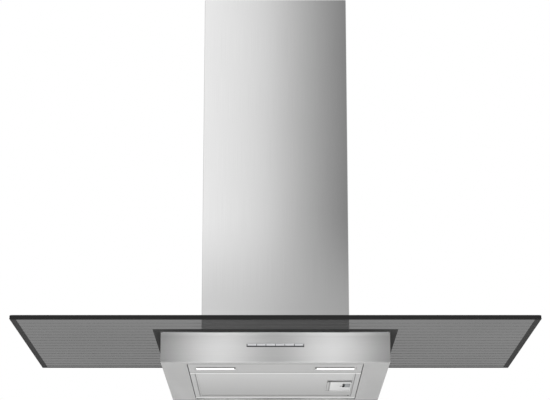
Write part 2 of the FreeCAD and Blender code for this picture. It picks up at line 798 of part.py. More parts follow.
def make_filter_latch():
    body = new_body("filter_latch", y=filter_front, z=underside + " + GripRecess")
    sketch = new_sketch(body)
    rectangle(sketch, latch_x0, latch_x1,
              grip_middle + " - LatchLength / 2", grip_middle + " + LatchLength / 2")
    pad(body, sketch, "LatchHeight")
    tongue = new_sketch(body, height="LatchHeight - LatchTongueHeight")
    rectangle(tongue, latch_x1 + " - LatchWidth / 2", "FilterWidth / 2 + FilterGap / 2",
              grip_middle + " - LatchTongueLength / 2", grip_middle + " + LatchTongueLength / 2")
    pad(body, tongue, "LatchTongueHeight")
    rib = new_sketch(body)
    start = latch_x0 + " + LatchRibWidth"
    rectangle(rib, start, start + " + LatchRibWidth",
              grip_middle + " - LatchLength / 2 + LatchRibWidth",
              grip_middle + " + LatchLength / 2 - LatchRibWidth")
    ribs = pad(body, rib, "LatchRibHeight", back=True)
    repeat(body, [ribs], "X_Axis", "LatchRibCount", "LatchWidth - 3 * LatchRibWidth")

    # Bowed leaf between the window's left wall and the latch
    spring = document.addObject("Part::Feature", "latch_spring")
    spring.Label = "latch_spring"
    sheet_half = size("LatchSpringSheet") / 2
    length = size("LatchSpringLength")
    x0 = size(latch_x0 + " - LatchTravel") + sheet_half
    bow = size("LatchTravel") - 2 * sheet_half
    middle = size(grip_middle)
    outer = Part.Arc(FreeCAD.Vector(x0 - sheet_half, middle - length / 2, 0),
                     FreeCAD.Vector(x0 + bow + sheet_half, middle, 0),
                     FreeCAD.Vector(x0 - sheet_half, middle + length / 2, 0))
    inner = Part.Arc(FreeCAD.Vector(x0 - sheet_half, middle + length / 2 - 4 * sheet_half, 0),
                     FreeCAD.Vector(x0 + bow - sheet_half, middle, 0),
                     FreeCAD.Vector(x0 - sheet_half, middle - length / 2 + 4 * sheet_half, 0))
    ends = [outer.toShape(), Part.LineSegment(outer.EndPoint, inner.StartPoint).toShape(),
            inner.toShape(), Part.LineSegment(inner.EndPoint, outer.StartPoint).toShape()]
    height = size("LatchTongueHeight")
    spring.Shape = Part.Face(Part.Wire(ends)).extrude(FreeCAD.Vector(0, 0, height))
    place(spring, y=filter_front, z=underside + " + GripRecess + LatchHeight - LatchTongueHeight")


# Motor box: galvanised box that hangs on the wall, with its cover

def make_motor_box():
    body = new_body("motor_box", z=plate_top)
    sketch = new_sketch(body)
    rectangle(sketch, "-MotorBoxWidth / 2", "MotorBoxWidth / 2", "-MotorBoxDepth", "0")
    pad(body, sketch, "MotorBoxHeight")
    hollow(body, "MotorBoxSheet",
           lambda face: near(face.CenterOfMass.z, "0") or near(face.CenterOfMass.y, "-MotorBoxDepth"))
    base = new_sketch(body)
    rim = "MotorBoxWidth / 2 - MotorBoxSheet / 2"
    base_inner = "MotorBoxWidth / 2 - MotorBoxFlange"
    rectangle(base, "-(" + rim + ")", rim, "-MotorBoxDepth", "-MotorBoxSheet / 2")
    rectangle(base, "-(" + base_inner + ")", base_inner,
              "-MotorBoxDepth + MotorBoxFlange", "-MotorBoxFlange")
    pad(body, base, "MotorBoxBaseSheet")
    front = new_sketch(body, plane="XZ", height="MotorBoxDepth")
    rectangle(front, "-(" + rim + ")", rim, "MotorBoxBaseSheet / 2", "MotorBoxHeight - MotorBoxSheet / 2")
    rectangle(front, "-(" + base_inner + ")", base_inner,
              "MotorBoxFlange", "MotorBoxHeight - MotorBoxFlange")
    pad(body, front, "MotorBoxSheet", back=True)
    outlet = new_sketch(body, height="MotorBoxHeight")
    circle(outlet, "0", collar_y, "CollarRadius - CollarWall")
    pocket(body, outlet, "MotorBoxSheet + Overrun")
    fixings = new_sketch(body, plane="XZ")
    for side in ("-", ""):
        for level in ("-", "+"):
            circle(fixings, side + "FixingSpacingX / 2",
                   "FixingHeight + GasketThickness " + level + " FixingSpacingZ / 2", "FixingHoleRadius")
    pocket(body, fixings, "MotorBoxSheet + Overrun", both=True)


def make_motor_box_cover():
    body = new_body("motor_box_cover", y="-MotorBoxDepth - CoverGap", z=plate_top)
    sketch = new_sketch(body, plane="XZ")
    half = "MotorBoxWidth / 2 - MotorBoxSheet"
    rectangle(sketch, "-(" + half + ")", half,
              "GlassThickness + GasketThickness", "MotorBoxHeight - MotorBoxSheet")
    pad(body, sketch, "MotorBoxSheet")
    lip = new_sketch(body, plane="XZ", height="-CoverLip")
    lip_half = "(MotorBoxWidth / 2 - MotorBoxFlange - CoverGap)"
    lip_inner = "(MotorBoxWidth / 2 - MotorBoxFlange - CoverGap - MotorBoxSheet)"
    lip_foot = "MotorBoxFlange + CoverGap"
    lip_top = "MotorBoxHeight - MotorBoxFlange - CoverGap"
    rectangle(lip, "-" + lip_half, lip_half, lip_foot, lip_top)
    rectangle(lip, "-" + lip_inner, lip_inner, lip_foot + " + MotorBoxSheet", lip_top + " - MotorBoxSheet")
    pad(body, lip, "CoverLip + MotorBoxSheet / 2")


# Blower: spiral housing in two halves, motor on a three-armed bracket, and impeller

def scroll_outline(sketch):
    """Four quarter arcs of shrinking radius about the corners of a small square, and the outlet."""
    radii = ["ScrollRadius - %d * ScrollStep" % number for number in range(4)]
    centres = (("0", "0"), ("0", "-ScrollStep"), ("ScrollStep", "-ScrollStep"), ("ScrollStep", "0"))
    top = size("MotorBoxHeight - MotorBoxSheet - ScrollSeatGap - ScrollAxisRise")
    outer = -size("ScrollRadius")
    inner = outer + size("ScrollOutlet")
    last_centre = FreeCAD.Vector(size("ScrollStep"), 0, 0)
    last_radius = size(radii[3])
    end_angle = math.pi - math.acos((last_centre.x - inner) / last_radius)
    tongue = FreeCAD.Vector(inner, last_centre.y + last_radius * math.sin(end_angle), 0)
    normal = FreeCAD.Vector(0, 0, 1)

    down = sketch.addGeometry(Part.LineSegment(FreeCAD.Vector(outer, top, 0), FreeCAD.Vector(outer, 0, 0)))
    arcs = []
    for number in range(4):
        centre = FreeCAD.Vector(size(centres[number][0]), size(centres[number][1]), 0)
        start = math.pi * (1 + number / 2)
        end = start + math.pi / 2 if number < 3 else end_angle + 2 * math.pi
        round_path = Part.Circle(centre, normal, size(radii[number]))
        arcs.append(sketch.addGeometry(Part.ArcOfCircle(round_path, start, end)))
    up = sketch.addGeometry(Part.LineSegment(tongue, FreeCAD.Vector(inner, top, 0)))
    across = sketch.addGeometry(Part.LineSegment(FreeCAD.Vector(inner, top, 0),
                                                 FreeCAD.Vector(outer, top, 0)))

    def relate(kind, *where):
        sketch.addConstraint(Sketcher.Constraint(kind, *where))

    relate("Tangent", down, 2, arcs[0], 1)
    for number in range(3):
        relate("Tangent", arcs[number], 2, arcs[number + 1], 1)
    relate("Coincident", arcs[3], 2, up, 1)
    relate("Coincident", up, 2, across, 1)
    relate("Coincident", across, 2, down, 1)
    relate("Vertical", down)
    relate("Vertical", up)
    relate("Horizontal", across)
    for arc, (x, y) in zip(arcs, centres):
        hold(sketch, "DistanceX", -1, 1, arc, 3, x)
        hold(sketch, "DistanceY", -1, 1, arc, 3, y)
    hold(sketch, "Radius", arcs[0], "ScrollRadius")
    hold(sketch, "DistanceX", -1, 1, up, 2, "ScrollOutlet - ScrollRadius")
    hold(sketch, "DistanceY", -1, 1, up, 2,
         "MotorBoxHeight - MotorBoxSheet - ScrollSeatGap - ScrollAxisRise")


def make_scroll(side, leftward):
    body = new_body("scroll_" + side, y=scroll_y, z=plate_top + " + ScrollAxisRise")
    sketch = new_sketch(body, plane="YZ")
    scroll_outline(sketch)
    document.recompute()
    pad(body, sketch, "ScrollWidth / 2 + ScrollWall", back=leftward)

    def tongue_edge(edge):
        middle = edge.CenterOfMass
        below_outlet = not near(middle.z, "MotorBoxHeight - MotorBoxSheet - ScrollSeatGap - ScrollAxisRise")
        return along(edge, axis_x) and near(middle.y, "ScrollOutlet - ScrollRadius") and below_outlet

    fillet(body, "TongueRadius", tongue_edge)

    def open_face(face):
        middle = face.CenterOfMass
        outlet = near(middle.z, "MotorBoxHeight - MotorBoxSheet - ScrollSeatGap - ScrollAxisRise")
        return outlet or near(middle.x, "0")

    hollow(body, "ScrollWall", open_face)
    inlet = new_sketch(body, plane="YZ")
    circle(inlet, "ScrollStep / 2", "-ScrollStep / 2", "InletRadius")
    pocket(body, inlet, "ScrollWidth", back=not leftward)
    flange_level = "MotorBoxHeight - MotorBoxSheet - ScrollSeatGap - ScrollAxisRise - ScrollWall"
    flange = new_sketch(body, height=flange_level)
    wide = "ScrollWidth / 2 + ScrollWall + ScrollFlange"
    narrow = "ScrollWidth / 2 + ScrollWall / 2"
    x0, x1 = ("-(" + wide + ")", "-(" + narrow + ")") if leftward else (narrow, wide)
    rectangle(flange, x0, x1, "-ScrollRadius", "ScrollOutlet - ScrollRadius")
    pad(body, flange, "ScrollWall")


def make_impeller():
    body = new_body("impeller", y=impeller_y, z=impeller_z)
    disc = new_sketch(body, plane="YZ")
    circle(disc, "0", "0", "ImpellerRadius")
    pad(body, disc, "ImpellerDisc", both=True)
    hub = new_sketch(body, plane="YZ")
    circle(hub, "0", "0", "HubRadius")
    pad(body, hub, "HubLength", back=True)
    for sign in ("-", ""):
        ring = new_sketch(body, plane="YZ", height=sign + "ImpellerWidth / 2")
        circle(ring, "0", "0", "ImpellerRadius")
        circle(ring, "0", "0", "ImpellerInnerRadius")
        pad(body, ring, "ImpellerRing", back=not sign)
        blade = new_sketch(body, plane="YZ", height=sign + "ImpellerDisc / 4")
        blade_outline(blade)
        blades = pad(body, blade, "ImpellerWidth / 2 - ImpellerRing / 2 - ImpellerDisc / 4", back=bool(sign))
        repeat_round(body, [blades], "X_Axis", "BladeCount")
    bore = new_sketch(body, plane="YZ", height="-HubLength - Overrun")
    circle(bore, "0", "0", "ShaftRadius + ShaftFitGap")
    pocket(body, bore, "HubLength + ImpellerDisc + 2 * Overrun", back=True)


def blade_outline(sketch):
    """A forward-curved blade: a strip bent along its middle, between the two radii of the impeller."""
    inner = "ImpellerInnerRadius + BladeThickness"
    middle = "(ImpellerInnerRadius + ImpellerRadius) / 2"
    outer = "ImpellerRadius - BladeThickness"
    half = "BladeThickness / 2"
    bend = "BladeLean / 2 + BladeBow"
    profile(sketch, [
        ("-" + half, inner), (half, inner), (bend + " + " + half, middle),
        ("BladeLean + " + half, outer), ("BladeLean - " + half, outer), (bend + " - " + half, middle)])


def make_motor():
    body = new_body("motor", y=impeller_y, z=impeller_z)
    can = new_sketch(body, plane="YZ", height="MotorDiscGap")
    circle(can, "0", "0", "MotorRadius")
    pad(body, can, "MotorLength")
    boss = new_sketch(body, plane="YZ", height="MotorDiscGap + MotorLength / 2")
    circle(boss, "0", "0", "BearingBossRadius")
    pad(body, boss, "MotorLength / 2 + BearingBossLength")
    bore = new_sketch(body, plane="YZ")
    circle(bore, "0", "0", "ShaftRadius + BearingGap")
    pocket(body, bore, "MotorDiscGap + MotorLength + BearingBossLength + Overrun", back=True)

    bracket = new_body("motor_bracket", x="MotorDiscGap + MotorLength", y=impeller_y, z=impeller_z)
    plate = new_sketch(bracket, plane="YZ")
    circle(plate, "0", "0", "MotorRadius / 2")
    circle(plate, "0", "0", "BearingBossRadius + BearingGap")
    pad(bracket, plate, "ArmSheet")
    arm = new_sketch(bracket, plane="YZ")
    rectangle(arm, "-ArmWidth / 2", "ArmWidth / 2", "MotorRadius / 2 - ArmSheet", "ArmReach")
    arms = pad(bracket, arm, "ArmSheet")
    repeat_round(bracket, [arms], "X_Axis", "ArmCount")
    foot = new_sketch(bracket, plane="YZ")
    rectangle(foot, "-ArmWidth / 2", "ArmWidth / 2", "InletRadius + 2 * ScrollWall", "ArmReach")
    down = "MotorDiscGap + MotorLength - ScrollWidth / 2 - ScrollWall"
    feet = pad(bracket, foot, down, back=True)
    repeat_round(bracket, [feet], "X_Axis", "ArmCount")

    shaft = new_body("motor_shaft", x="-HubLength - NutHeight", y=impeller_y, z=impeller_z)
    sketch = new_sketch(shaft, plane="YZ")
    circle(sketch, "0", "0", "ShaftRadius")
    pad(shaft, sketch, "HubLength + NutHeight + MotorDiscGap + MotorLength + BearingBossLength")

    nut = new_body("shaft_nut", x="-HubLength - NutHeight", y=impeller_y, z=impeller_z)
    sketch = new_sketch(nut, plane="YZ")
    hexagon(sketch, "NutRadius")
    circle(sketch, "0", "0", "ShaftRadius + ShaftFitGap")
    pad(nut, sketch, "NutHeight")


def hexagon(sketch, radius):
    corners = []
    for number in range(6):
        turn = number * math.pi / 3
        corners.append(("%s * (%.6f)" % (radius, math.cos(turn)), "%s * (%.6f)" % (radius, math.sin(turn))))
    profile(sketch, corners)


# Duct spigot with two non-return flaps on their pins

flap_level = "(CollarFlangeSheet + FlapRise)"


def make_collar():
    body = new_body("outlet_collar", y=collar_y, z=box_top)
    flange = new_sketch(body)
    side = "CollarFlangeSide / 2"
    rectangle(flange, "-" + side, side, "-" + side, side)
    pad(body, flange, "CollarFlangeSheet")
    spigot = new_sketch(body)
    circle(spigot, "0", "0", "CollarRadius")
    pad(body, spigot, "CollarHeight")
    bore = new_sketch(body)
    circle(bore, "0", "0", "CollarRadius - CollarWall")
    pocket(body, bore, "CollarHeight", back=True)
    stop_level = flap_level + " - FlapThickness / 2 - FlapStopGap - FlapStopHeight"
    stops = new_sketch(body, height=stop_level)
    near_y = "(CollarRadius - CollarWall - FlapStopWidth)"
    far_y = "(CollarRadius - CollarWall / 2)"
    rectangle(stops, "-FlapStopLength / 2", "FlapStopLength / 2", near_y, far_y)
    rectangle(stops, "-FlapStopLength / 2", "FlapStopLength / 2", "-" + far_y, "-" + near_y)
    pad(body, stops, "FlapStopHeight")
    pins = new_sketch(body, plane="YZ")
    for side in ("-", ""):
        circle(pins, side + "FlapPinSpacing / 2", flap_level, "FlapPinRadius + FlapPinGap / 2")
    pocket(body, pins, "2 * CollarRadius - CollarWall", both=True)


def make_flap(name, sign):
    body = new_body("damper_flap_" + name, y=collar_y + " " + sign + " FlapPinSpacing / 2",
                    z=box_top + " + " + flap_level)
    sketch = new_sketch(body, height="-FlapThickness / 2")
    reach = size("CollarRadius - CollarWall - FlapGap")
    back = size("FlapPinSpacing") / 2
    half = math.sqrt(reach ** 2 - back ** 2)
    way = -1 if sign == "-" else 1
    centre = FreeCAD.Vector(0, -way * back, 0)
    first = math.atan2(back, half)
    start = (first, math.pi - first) if way > 0 else (math.pi + first, 2 * math.pi - first)
    ring = sketch.addGeometry(Part.ArcOfCircle(Part.Circle(centre, axis_z, reach), *start))
    ends = [FreeCAD.Vector(half, 0, 0), FreeCAD.Vector(-half, 0, 0)]
    if way < 0:
        ends.reverse()
    line = sketch.addGeometry(Part.LineSegment(ends[1], ends[0]))
    sketch.addConstraint(Sketcher.Constraint("Coincident", ring, 2, line, 1))
    sketch.addConstraint(Sketcher.Constraint("Coincident", ring, 1, line, 2))
    sketch.addConstraint(Sketcher.Constraint("Horizontal", line))
    hold(sketch, "Radius", ring, "CollarRadius - CollarWall - FlapGap")
    hold(sketch, "DistanceX", -1, 1, ring, 3, "0")
    hold(sketch, "DistanceY", -1, 1, ring, 3, ("" if way < 0 else "-") + "FlapPinSpacing / 2")
    hold(sketch, "DistanceY", -1, 1, line, 1, "0")
    pad(body, sketch, "FlapThickness")
    barrel_half = "CollarRadius - CollarWall - 3 * FlapGap"
    barrel = new_sketch(body, plane="YZ", height="-(" + barrel_half + ")")
    circle(barrel, "0", "0", "FlapBarrelRadius")
    pad(body, barrel, "2 * (" + barrel_half + ")")
    bore = new_sketch(body, plane="YZ", height="-CollarRadius")
    circle(bore, "0", "0", "FlapPinRadius + FlapPinGap")
    pocket(body, bore, "2 * CollarRadius", back=True)


def make_damper_pins():
    pins = []
    for side in ("-", "+"):
        pin = document.addObject("Part::Cylinder", "pin")
        bind(pin, "Radius", "FlapPinRadius")
        bind(pin, "Height", "2 * CollarRadius - CollarWall")
        pin.Placement.Rotation = FreeCAD.Rotation(axis_y, 90)
        place(pin, x="-CollarRadius + CollarWall / 2", y=side + "FlapPinSpacing / 2")
        pins.append(pin)
    group = document.addObject("Part::Compound", "damper_pin")
    group.Label = "damper_pin"
    group.Links = pins
    place(group, y=collar_y, z=box_top + " + " + flap_level)


# Electrics in a plastic box on top of the motor box

control_rear = "(-ControlBoxWallGap)"
control_front = "(-ControlBoxWallGap - ControlBoxDepth)"
gland_x = "(ControlBoxWidth / 2 - ControlBoxWall - PartsMargin - GlandFlangeRadius)"
gland_y = "(-ControlBoxWallGap - ControlBoxDepth / 2)"


def make_control_box():
    body = new_body("control_box", z=box_top)
    sketch = new_sketch(body)
    rectangle(sketch, "-ControlBoxWidth / 2", "ControlBoxWidth / 2", control_front, control_rear)
    pad(body, sketch, "ControlBoxHeight")
    hollow(body, "ControlBoxWall", lambda face: near(face.CenterOfMass.z, "ControlBoxHeight"))

    lid = new_body("control_box_lid", z=box_top + " + ControlBoxHeight")
    sketch = new_sketch(lid)
    rectangle(sketch, "-ControlBoxWidth / 2", "ControlBoxWidth / 2", control_front, control_rear)
    circle(sketch, gland_x, gland_y, "GlandRadius + GlandHoleGap")
    pad(lid, sketch, "ControlLidThickness")
    rib = new_sketch(lid)
    edge = "2 * ControlBoxWall"
    rectangle(rib, "-(ControlBoxWidth / 2 - (" + edge + "))", "ControlBoxWidth / 2 - (" + edge + ")",
              control_front + " + " + edge, control_rear + " - (" + edge + ")")
    inner = edge + " + ControlBoxWall"
    rectangle(rib, "-(ControlBoxWidth / 2 - (" + inner + "))", "ControlBoxWidth / 2 - (" + inner + ")",
              control_front + " + " + inner, control_rear + " - (" + inner + ")")
    pad(lid, rib, "ControlBoxWall", back=True)


def make_electrics():
    floor = box_top + " + ControlBoxWall"
    left = "-ControlBoxWidth / 2 + ControlBoxWall + PartsMargin"
    right = "ControlBoxWidth / 2 - ControlBoxWall - PartsMargin"
    front = control_front + " + ControlBoxWall + PartsMargin"

    terminal = new_body("terminal_block", x=right + " - TerminalLength - PartsMargin", y=front, z=floor)
    sketch = new_sketch(terminal)
    rectangle(sketch, "0", "TerminalLength", "0", "TerminalDepth")
    pad(terminal, sketch, "TerminalHeight")
    well = new_sketch(terminal, height="TerminalHeight")
    cell = "TerminalLength / TerminalCount"
    rectangle(well, cell + " / 4", cell + " * 3 / 4", "TerminalDepth / 4", "TerminalDepth * 3 / 4")
    wells = pocket(terminal, well, "TerminalHeight / 2")
    repeat(terminal, [wells], "X_Axis", "TerminalCount", "TerminalLength - " + cell)

    capacitor = new_body("capacitor", x=left, y=control_rear + " - ControlBoxWall - PartsMargin", z=floor)
    sketch = new_sketch(capacitor)
    rectangle(sketch, "0", "CapacitorLength", "-CapacitorDepth", "0")
    pad(capacitor, sketch, "CapacitorHeight")
    chamfer(capacitor, "CapacitorDepth / 12", lambda edge: near(edge.BoundBox.ZMin, "CapacitorHeight"))

    driver = new_body("led_driver", x=left, y=front, z=floor)
    sketch = new_sketch(driver)
    rectangle(sketch, "0", "DriverLength", "0", "DriverDepth")
    pad(driver, sketch, "DriverHeight")
    chamfer(driver, "DriverHeight / 12", lambda edge: near(edge.BoundBox.ZMin, "DriverHeight"))


def make_gland():
    body = new_body("cable_gland", x=gland_x, y=gland_y,
                    z=box_top + " + ControlBoxHeight + ControlLidThickness")
    stem = new_sketch(body, height="-ControlLidThickness - GlandFlange")
    circle(stem, "0", "0", "GlandRadius")
    pad(body, stem, "ControlLidThickness + GlandFlange")
    flange = new_sketch(body)
    hexagon(flange, "GlandFlangeRadius")
    pad(body, flange, "GlandFlange")
    nut = new_sketch(body)
    hexagon(nut, "GlandRadius")
    pad(body, nut, "GlandLength")
    bore = new_sketch(body, height="-ControlLidThickness - GlandFlange - Overrun")
    circle(bore, "0", "0", "GlandBore")
    pocket(body, bore, "ControlLidThickness + GlandFlange + GlandLength + 2 * Overrun", back=True)


# Chimney: two folded tubes, open at the back, one inside the other

def folded_tube(body, width, depth, length, rear_gap):
    """A tube with its front corners bent and its back open between two narrow flanges."""
    sketch = new_sketch(body)
    half = "(" + width + ") / 2"
    rectangle(sketch, "-" + half, half, "-(" + depth + ")", "-(" + rear_gap + ")")
    pad(body, sketch, length)
    fillet(body, "ChimneyBendRadius", lambda edge: along(edge, axis_z))
    hollow(body, "ChimneySheet",
           lambda face: near(face.CenterOfMass.z, "0") or near(face.CenterOfMass.z, length))
    back = new_sketch(body, plane="XZ", height=rear_gap)
    open_half = "(" + width + ") / 2 - ChimneyFlange"
    rectangle(back, "-(" + open_half + ")", open_half, "-Overrun", length + " + Overrun")
    pocket(body, back, "2 * ChimneySheet + Overrun", both=True)


upper_base = "(" + chimney_top + " - UpperDrop - UpperHeight)"
bracket_base = "(" + chimney_top + " - UpperDrop - BracketTopGap)"


def make_chimneys():
    lower = new_body("lower_chimney", z=chimney_foot)
    folded_tube(lower, "ChimneyWidth", "ChimneyDepth", "ChimneyHeight - ChimneySeatGap", "0")

    upper = new_body("upper_chimney", z=upper_base)
    inset = "ChimneySheet + UpperClearance"
    folded_tube(upper, "ChimneyWidth - 2 * (" + inset + ")", "ChimneyDepth - (" + inset + ")",
                "UpperHeight", inset)
    vent = new_sketch(upper, plane="YZ", height="0")
    vent_top = "UpperHeight - VentTopGap"
    rectangle(vent, "-ChimneyDepth / 2 - VentLength / 2", "-ChimneyDepth / 2 + VentLength / 2",
              vent_top + " - VentHeight - (VentCount - 1) * VentPitch",
              vent_top + " - (VentCount - 1) * VentPitch")
    vents = pocket(upper, vent, "ChimneyWidth + Overrun", both=True)
    repeat(upper, [vents], "Z_Axis", "VentCount", "(VentCount - 1) * VentPitch")


ear_x = "(ChimneyWidth / 2 - 2 * ChimneySheet - UpperClearance - BracketFitGap)"


def make_chimney_bracket():
    body = new_body("chimney_bracket", z=bracket_base)
    half = "BracketWidth / 2"
    back = "-BracketSheet"
    front = "-BracketForward"
    sketch = new_sketch(body)
    profile(sketch, [
        ("-" + half, "0"), (half, "0"), (half, front + " + BracketSheet"),
        (ear_x, front + " + BracketSheet"), (ear_x, front + " - BracketEar"),
        (ear_x + " - BracketSheet", front + " - BracketEar"), (ear_x + " - BracketSheet", front),
        (half + " - BracketSheet", front), (half + " - BracketSheet", back),
        ("-" + half + " + BracketSheet", back), ("-" + half + " + BracketSheet", front),
        ("-" + ear_x + " + BracketSheet", front), ("-" + ear_x + " + BracketSheet", front + " - BracketEar"),
        ("-" + ear_x, front + " - BracketEar"), ("-" + ear_x, front + " + BracketSheet"),
        ("-" + half, front + " + BracketSheet")])
    pad(body, sketch, "BracketHeight")
    holes = new_sketch(body, plane="XZ")
    for side in ("-", ""):
        circle(holes, side + "BracketHoleSpacing / 2", "BracketHeight / 2", "BracketHoleRadius")
    pocket(body, holes, "2 * BracketSheet + Overrun", both=True)


def make_stay(side, sign):
    body = new_body("chimney_stay_" + side, y="-StayWallGap", z=glass_top + " + StayRise")
    inner = "(MotorBoxWidth / 2)"
    outer = "(ChimneyWidth / 2 - ChimneySheet - BracketFitGap)"
    sketch = new_sketch(body)
    corners = [
        (inner, "-StayFoot"), (inner + " + StaySheet", "-StayFoot"), (inner + " + StaySheet", "-StaySheet"),
        (outer, "-StaySheet"), (outer, "StayFoot"), (outer + " - StaySheet", "StayFoot"),
        (outer + " - StaySheet", "0"), (inner, "0")]
    if sign:
        corners = [("-(" + x + ")", y) for x, y in corners]
    profile(sketch, corners)
    pad(body, sketch, "StayHeight")


# Glass clamps

def make_clamp(side, sign):
    body = new_body("glass_clamp_" + side, y="-ClampWallGap", z=glass_top)
    sketch = new_sketch(body, plane="XZ")
    inner = "MotorBoxWidth / 2 + BracketFitGap"
    corners = [
        (inner, "0"), (inner + " + ClampWidth", "0"), (inner + " + ClampWidth", "ClampSheet"),
        (inner + " + ClampSheet", "ClampSheet"), (inner + " + ClampSheet", "ClampRise"), (inner, "ClampRise")]
    if sign:
        corners = [("-(" + x + ")", z) for x, z in corners]
    profile(sketch, corners)
    pad(body, sketch, "ClampLength")
    hole = new_sketch(body)
    circle(hole, sign + "ClampOffset", "-ClampLength / 2", "ScrewRadius + ScrewHoleGap")
    pocket(body, hole, "ClampSheet", back=True)


# Screws that hold the glass

def make_clamp_screws():
    screws = []
    for side in ("-", ""):
        head = document.addObject("Part::Prism", "head")
        bind(head, "Circumradius", "ScrewHeadRadius")
        bind(head, "Height", "ScrewHeadHeight")
        shank = document.addObject("Part::Cylinder", "shank")
        grip = "(ClampSheet + GlassThickness + GasketThickness + TopPlateSheet + ScrewOverrun)"
        bind(shank, "Radius", "ScrewRadius")
        bind(shank, "Height", grip + " + ScrewHeadHeight / 2")
        bind(shank, "Placement.Base.z", "-" + grip)
        whole = document.addObject("Part::Fuse", "screw")
        whole.Base = head
        whole.Tool = shank
        place(whole, side + "ClampOffset", clamp_screw_y, glass_top + " + ClampSheet")
        screws.append(whole)
    group = document.addObject("Part::Compound", "glass_clamp_screws")
    group.Label = "glass_clamp_screws"
    group.Links = screws


make_glass()
make_gasket()
make_casing()
make_top_plate()
make_lamp_panel()
make_filter_surround()
make_lamp("left", "-")
make_lamp("right", "")
make_switch_holder()
make_keys()
make_switch_board()
make_filter_frame()
make_filter_meshes()
make_filter_grip()
make_filter_latch()
make_motor_box()
make_motor_box_cover()
make_scroll("left", True)
make_scroll("right", False)
make_impeller()
make_motor()
make_collar()
make_flap("front", "-")
make_flap("rear", "+")
make_damper_pins()
make_control_box()
make_electrics()
make_gland()
make_chimneys()
make_chimney_bracket()
make_stay("left", "-")
make_stay("right", "")
make_clamp("left", "-")
make_clamp("right", "")
make_clamp_screws()
document.recompute()

# Every object is sound before anything is written
for thing in document.Objects:
    if "Invalid" in thing.State or "Error" in thing.State:
        raise ValueError("%s failed: %s" % (thing.Label, thing.State))

groups = [thing for thing in document.Objects if thing.TypeId in ("Part::Compound", "Part::Feature")]
sub_parts = [thing for thing in document.Objects if thing.TypeId == "PartDesign::Body"] + groups
os.makedirs("parts", exist_ok=True)
for part in sub_parts:
    if part.Shape.isNull() or not part.Shape.isValid():
        raise ValueError("%s has no sound shape" % part.Label)
for part in sub_parts:
    part.Shape.exportStep("parts/%s.step" % part.Label)
    corner = part.Shape.BoundBox
    print("%-20s %d solids  x %.1f..%.1f  y %.1f..%.1f  z %.1f..%.1f" % (
        part.Label, len(part.Shape.Solids), corner.XMin, corner.XMax, corner.YMin, corner.YMax,
        corner.ZMin, corner.ZMax))
print(len(sub_parts), "sub-parts written")
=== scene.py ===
import json
import math

import bmesh
import bpy
from mathutils import Matrix, Vector

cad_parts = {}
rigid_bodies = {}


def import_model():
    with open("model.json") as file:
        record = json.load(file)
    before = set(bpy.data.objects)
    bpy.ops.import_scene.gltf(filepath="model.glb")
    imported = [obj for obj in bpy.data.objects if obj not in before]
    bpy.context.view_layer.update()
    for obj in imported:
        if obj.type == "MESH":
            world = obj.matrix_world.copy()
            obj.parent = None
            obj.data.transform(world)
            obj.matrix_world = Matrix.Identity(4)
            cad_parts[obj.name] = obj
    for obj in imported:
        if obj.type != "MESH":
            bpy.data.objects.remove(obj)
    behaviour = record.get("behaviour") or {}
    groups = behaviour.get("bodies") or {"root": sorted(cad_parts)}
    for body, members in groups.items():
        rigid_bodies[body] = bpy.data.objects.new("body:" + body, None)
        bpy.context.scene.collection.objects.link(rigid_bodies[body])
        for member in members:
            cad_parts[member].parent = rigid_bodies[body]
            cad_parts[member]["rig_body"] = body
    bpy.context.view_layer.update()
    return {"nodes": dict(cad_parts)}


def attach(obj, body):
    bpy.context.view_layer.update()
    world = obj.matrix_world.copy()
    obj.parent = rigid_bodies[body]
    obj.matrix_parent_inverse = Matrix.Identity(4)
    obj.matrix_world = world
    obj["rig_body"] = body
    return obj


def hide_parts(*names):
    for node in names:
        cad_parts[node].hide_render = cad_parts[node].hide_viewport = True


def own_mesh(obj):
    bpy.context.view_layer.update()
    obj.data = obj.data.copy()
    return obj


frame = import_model()
nodes = frame["nodes"]
hoodBody = "hood"


def mm(*values):
    # sizes in this script are written in millimetres, Blender works in metres
    return values[0] / 1000 if len(values) == 1 else Vector(values) / 1000


def linear(text):
    # an sRGB hex colour as Blender's linear RGBA
    parts = [int(text[i:i + 2], 16) / 255 for i in (0, 2, 4)]
    return tuple(p / 12.92 if p <= 0.04045 else ((p + 0.055) / 1.055) ** 2.4 for p in parts) + (1.0,)


def addNode(tree, kind, inputs=None, stops=None, **settings):
    made = tree.nodes.new(kind)
    for name, value in settings.items():
        setattr(made, name, value)
    for socket, value in (inputs or {}).items():
        if isinstance(value, bpy.types.NodeSocket):
            tree.links.new(value, made.inputs[socket])
        else:
            made.inputs[socket].default_value = value
    for index, (place, colour) in enumerate(stops or ()):
        points = made.color_ramp.elements
        point = points[index] if index < 2 else points.new(1.0)
        point.position = place
        point.color = linear(colour)
    return made


def newMaterial(name, values):
    material = bpy.data.materials.new(name)
    material.use_nodes = True
    shader = material.node_tree.nodes["Principled BSDF"]
    for socket, value in values.items():
        shader.inputs[socket].default_value = value
    return material, material.node_tree, shader


def addPiece(name, bm, materials, body, replaces=(), bevel=None, sharp=35):
    bmesh.ops.remove_doubles(bm, verts=bm.verts, dist=1e-7)
    mesh = bpy.data.meshes.new(name)
    bm.to_mesh(mesh)
    bm.free()
    mesh.shade_smooth()
    mesh.set_sharp_from_angle(angle=math.radians(sharp))
    piece = bpy.data.objects.new(name, mesh)
    bpy.context.scene.collection.objects.link(piece)
    for material in materials if isinstance(materials, (list, tuple)) else [materials]:
        mesh.materials.append(material)
    if bevel:
        rounding = piece.modifiers.new("edges", "BEVEL")
        rounding.width = mm(bevel)
        rounding.segments = 2
        rounding.limit_method = "ANGLE"
        rounding.angle_limit = math.radians(sharp)
        rounding.harden_normals = True
    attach(piece, body)
    for node in replaces:
        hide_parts(node)
    return piece


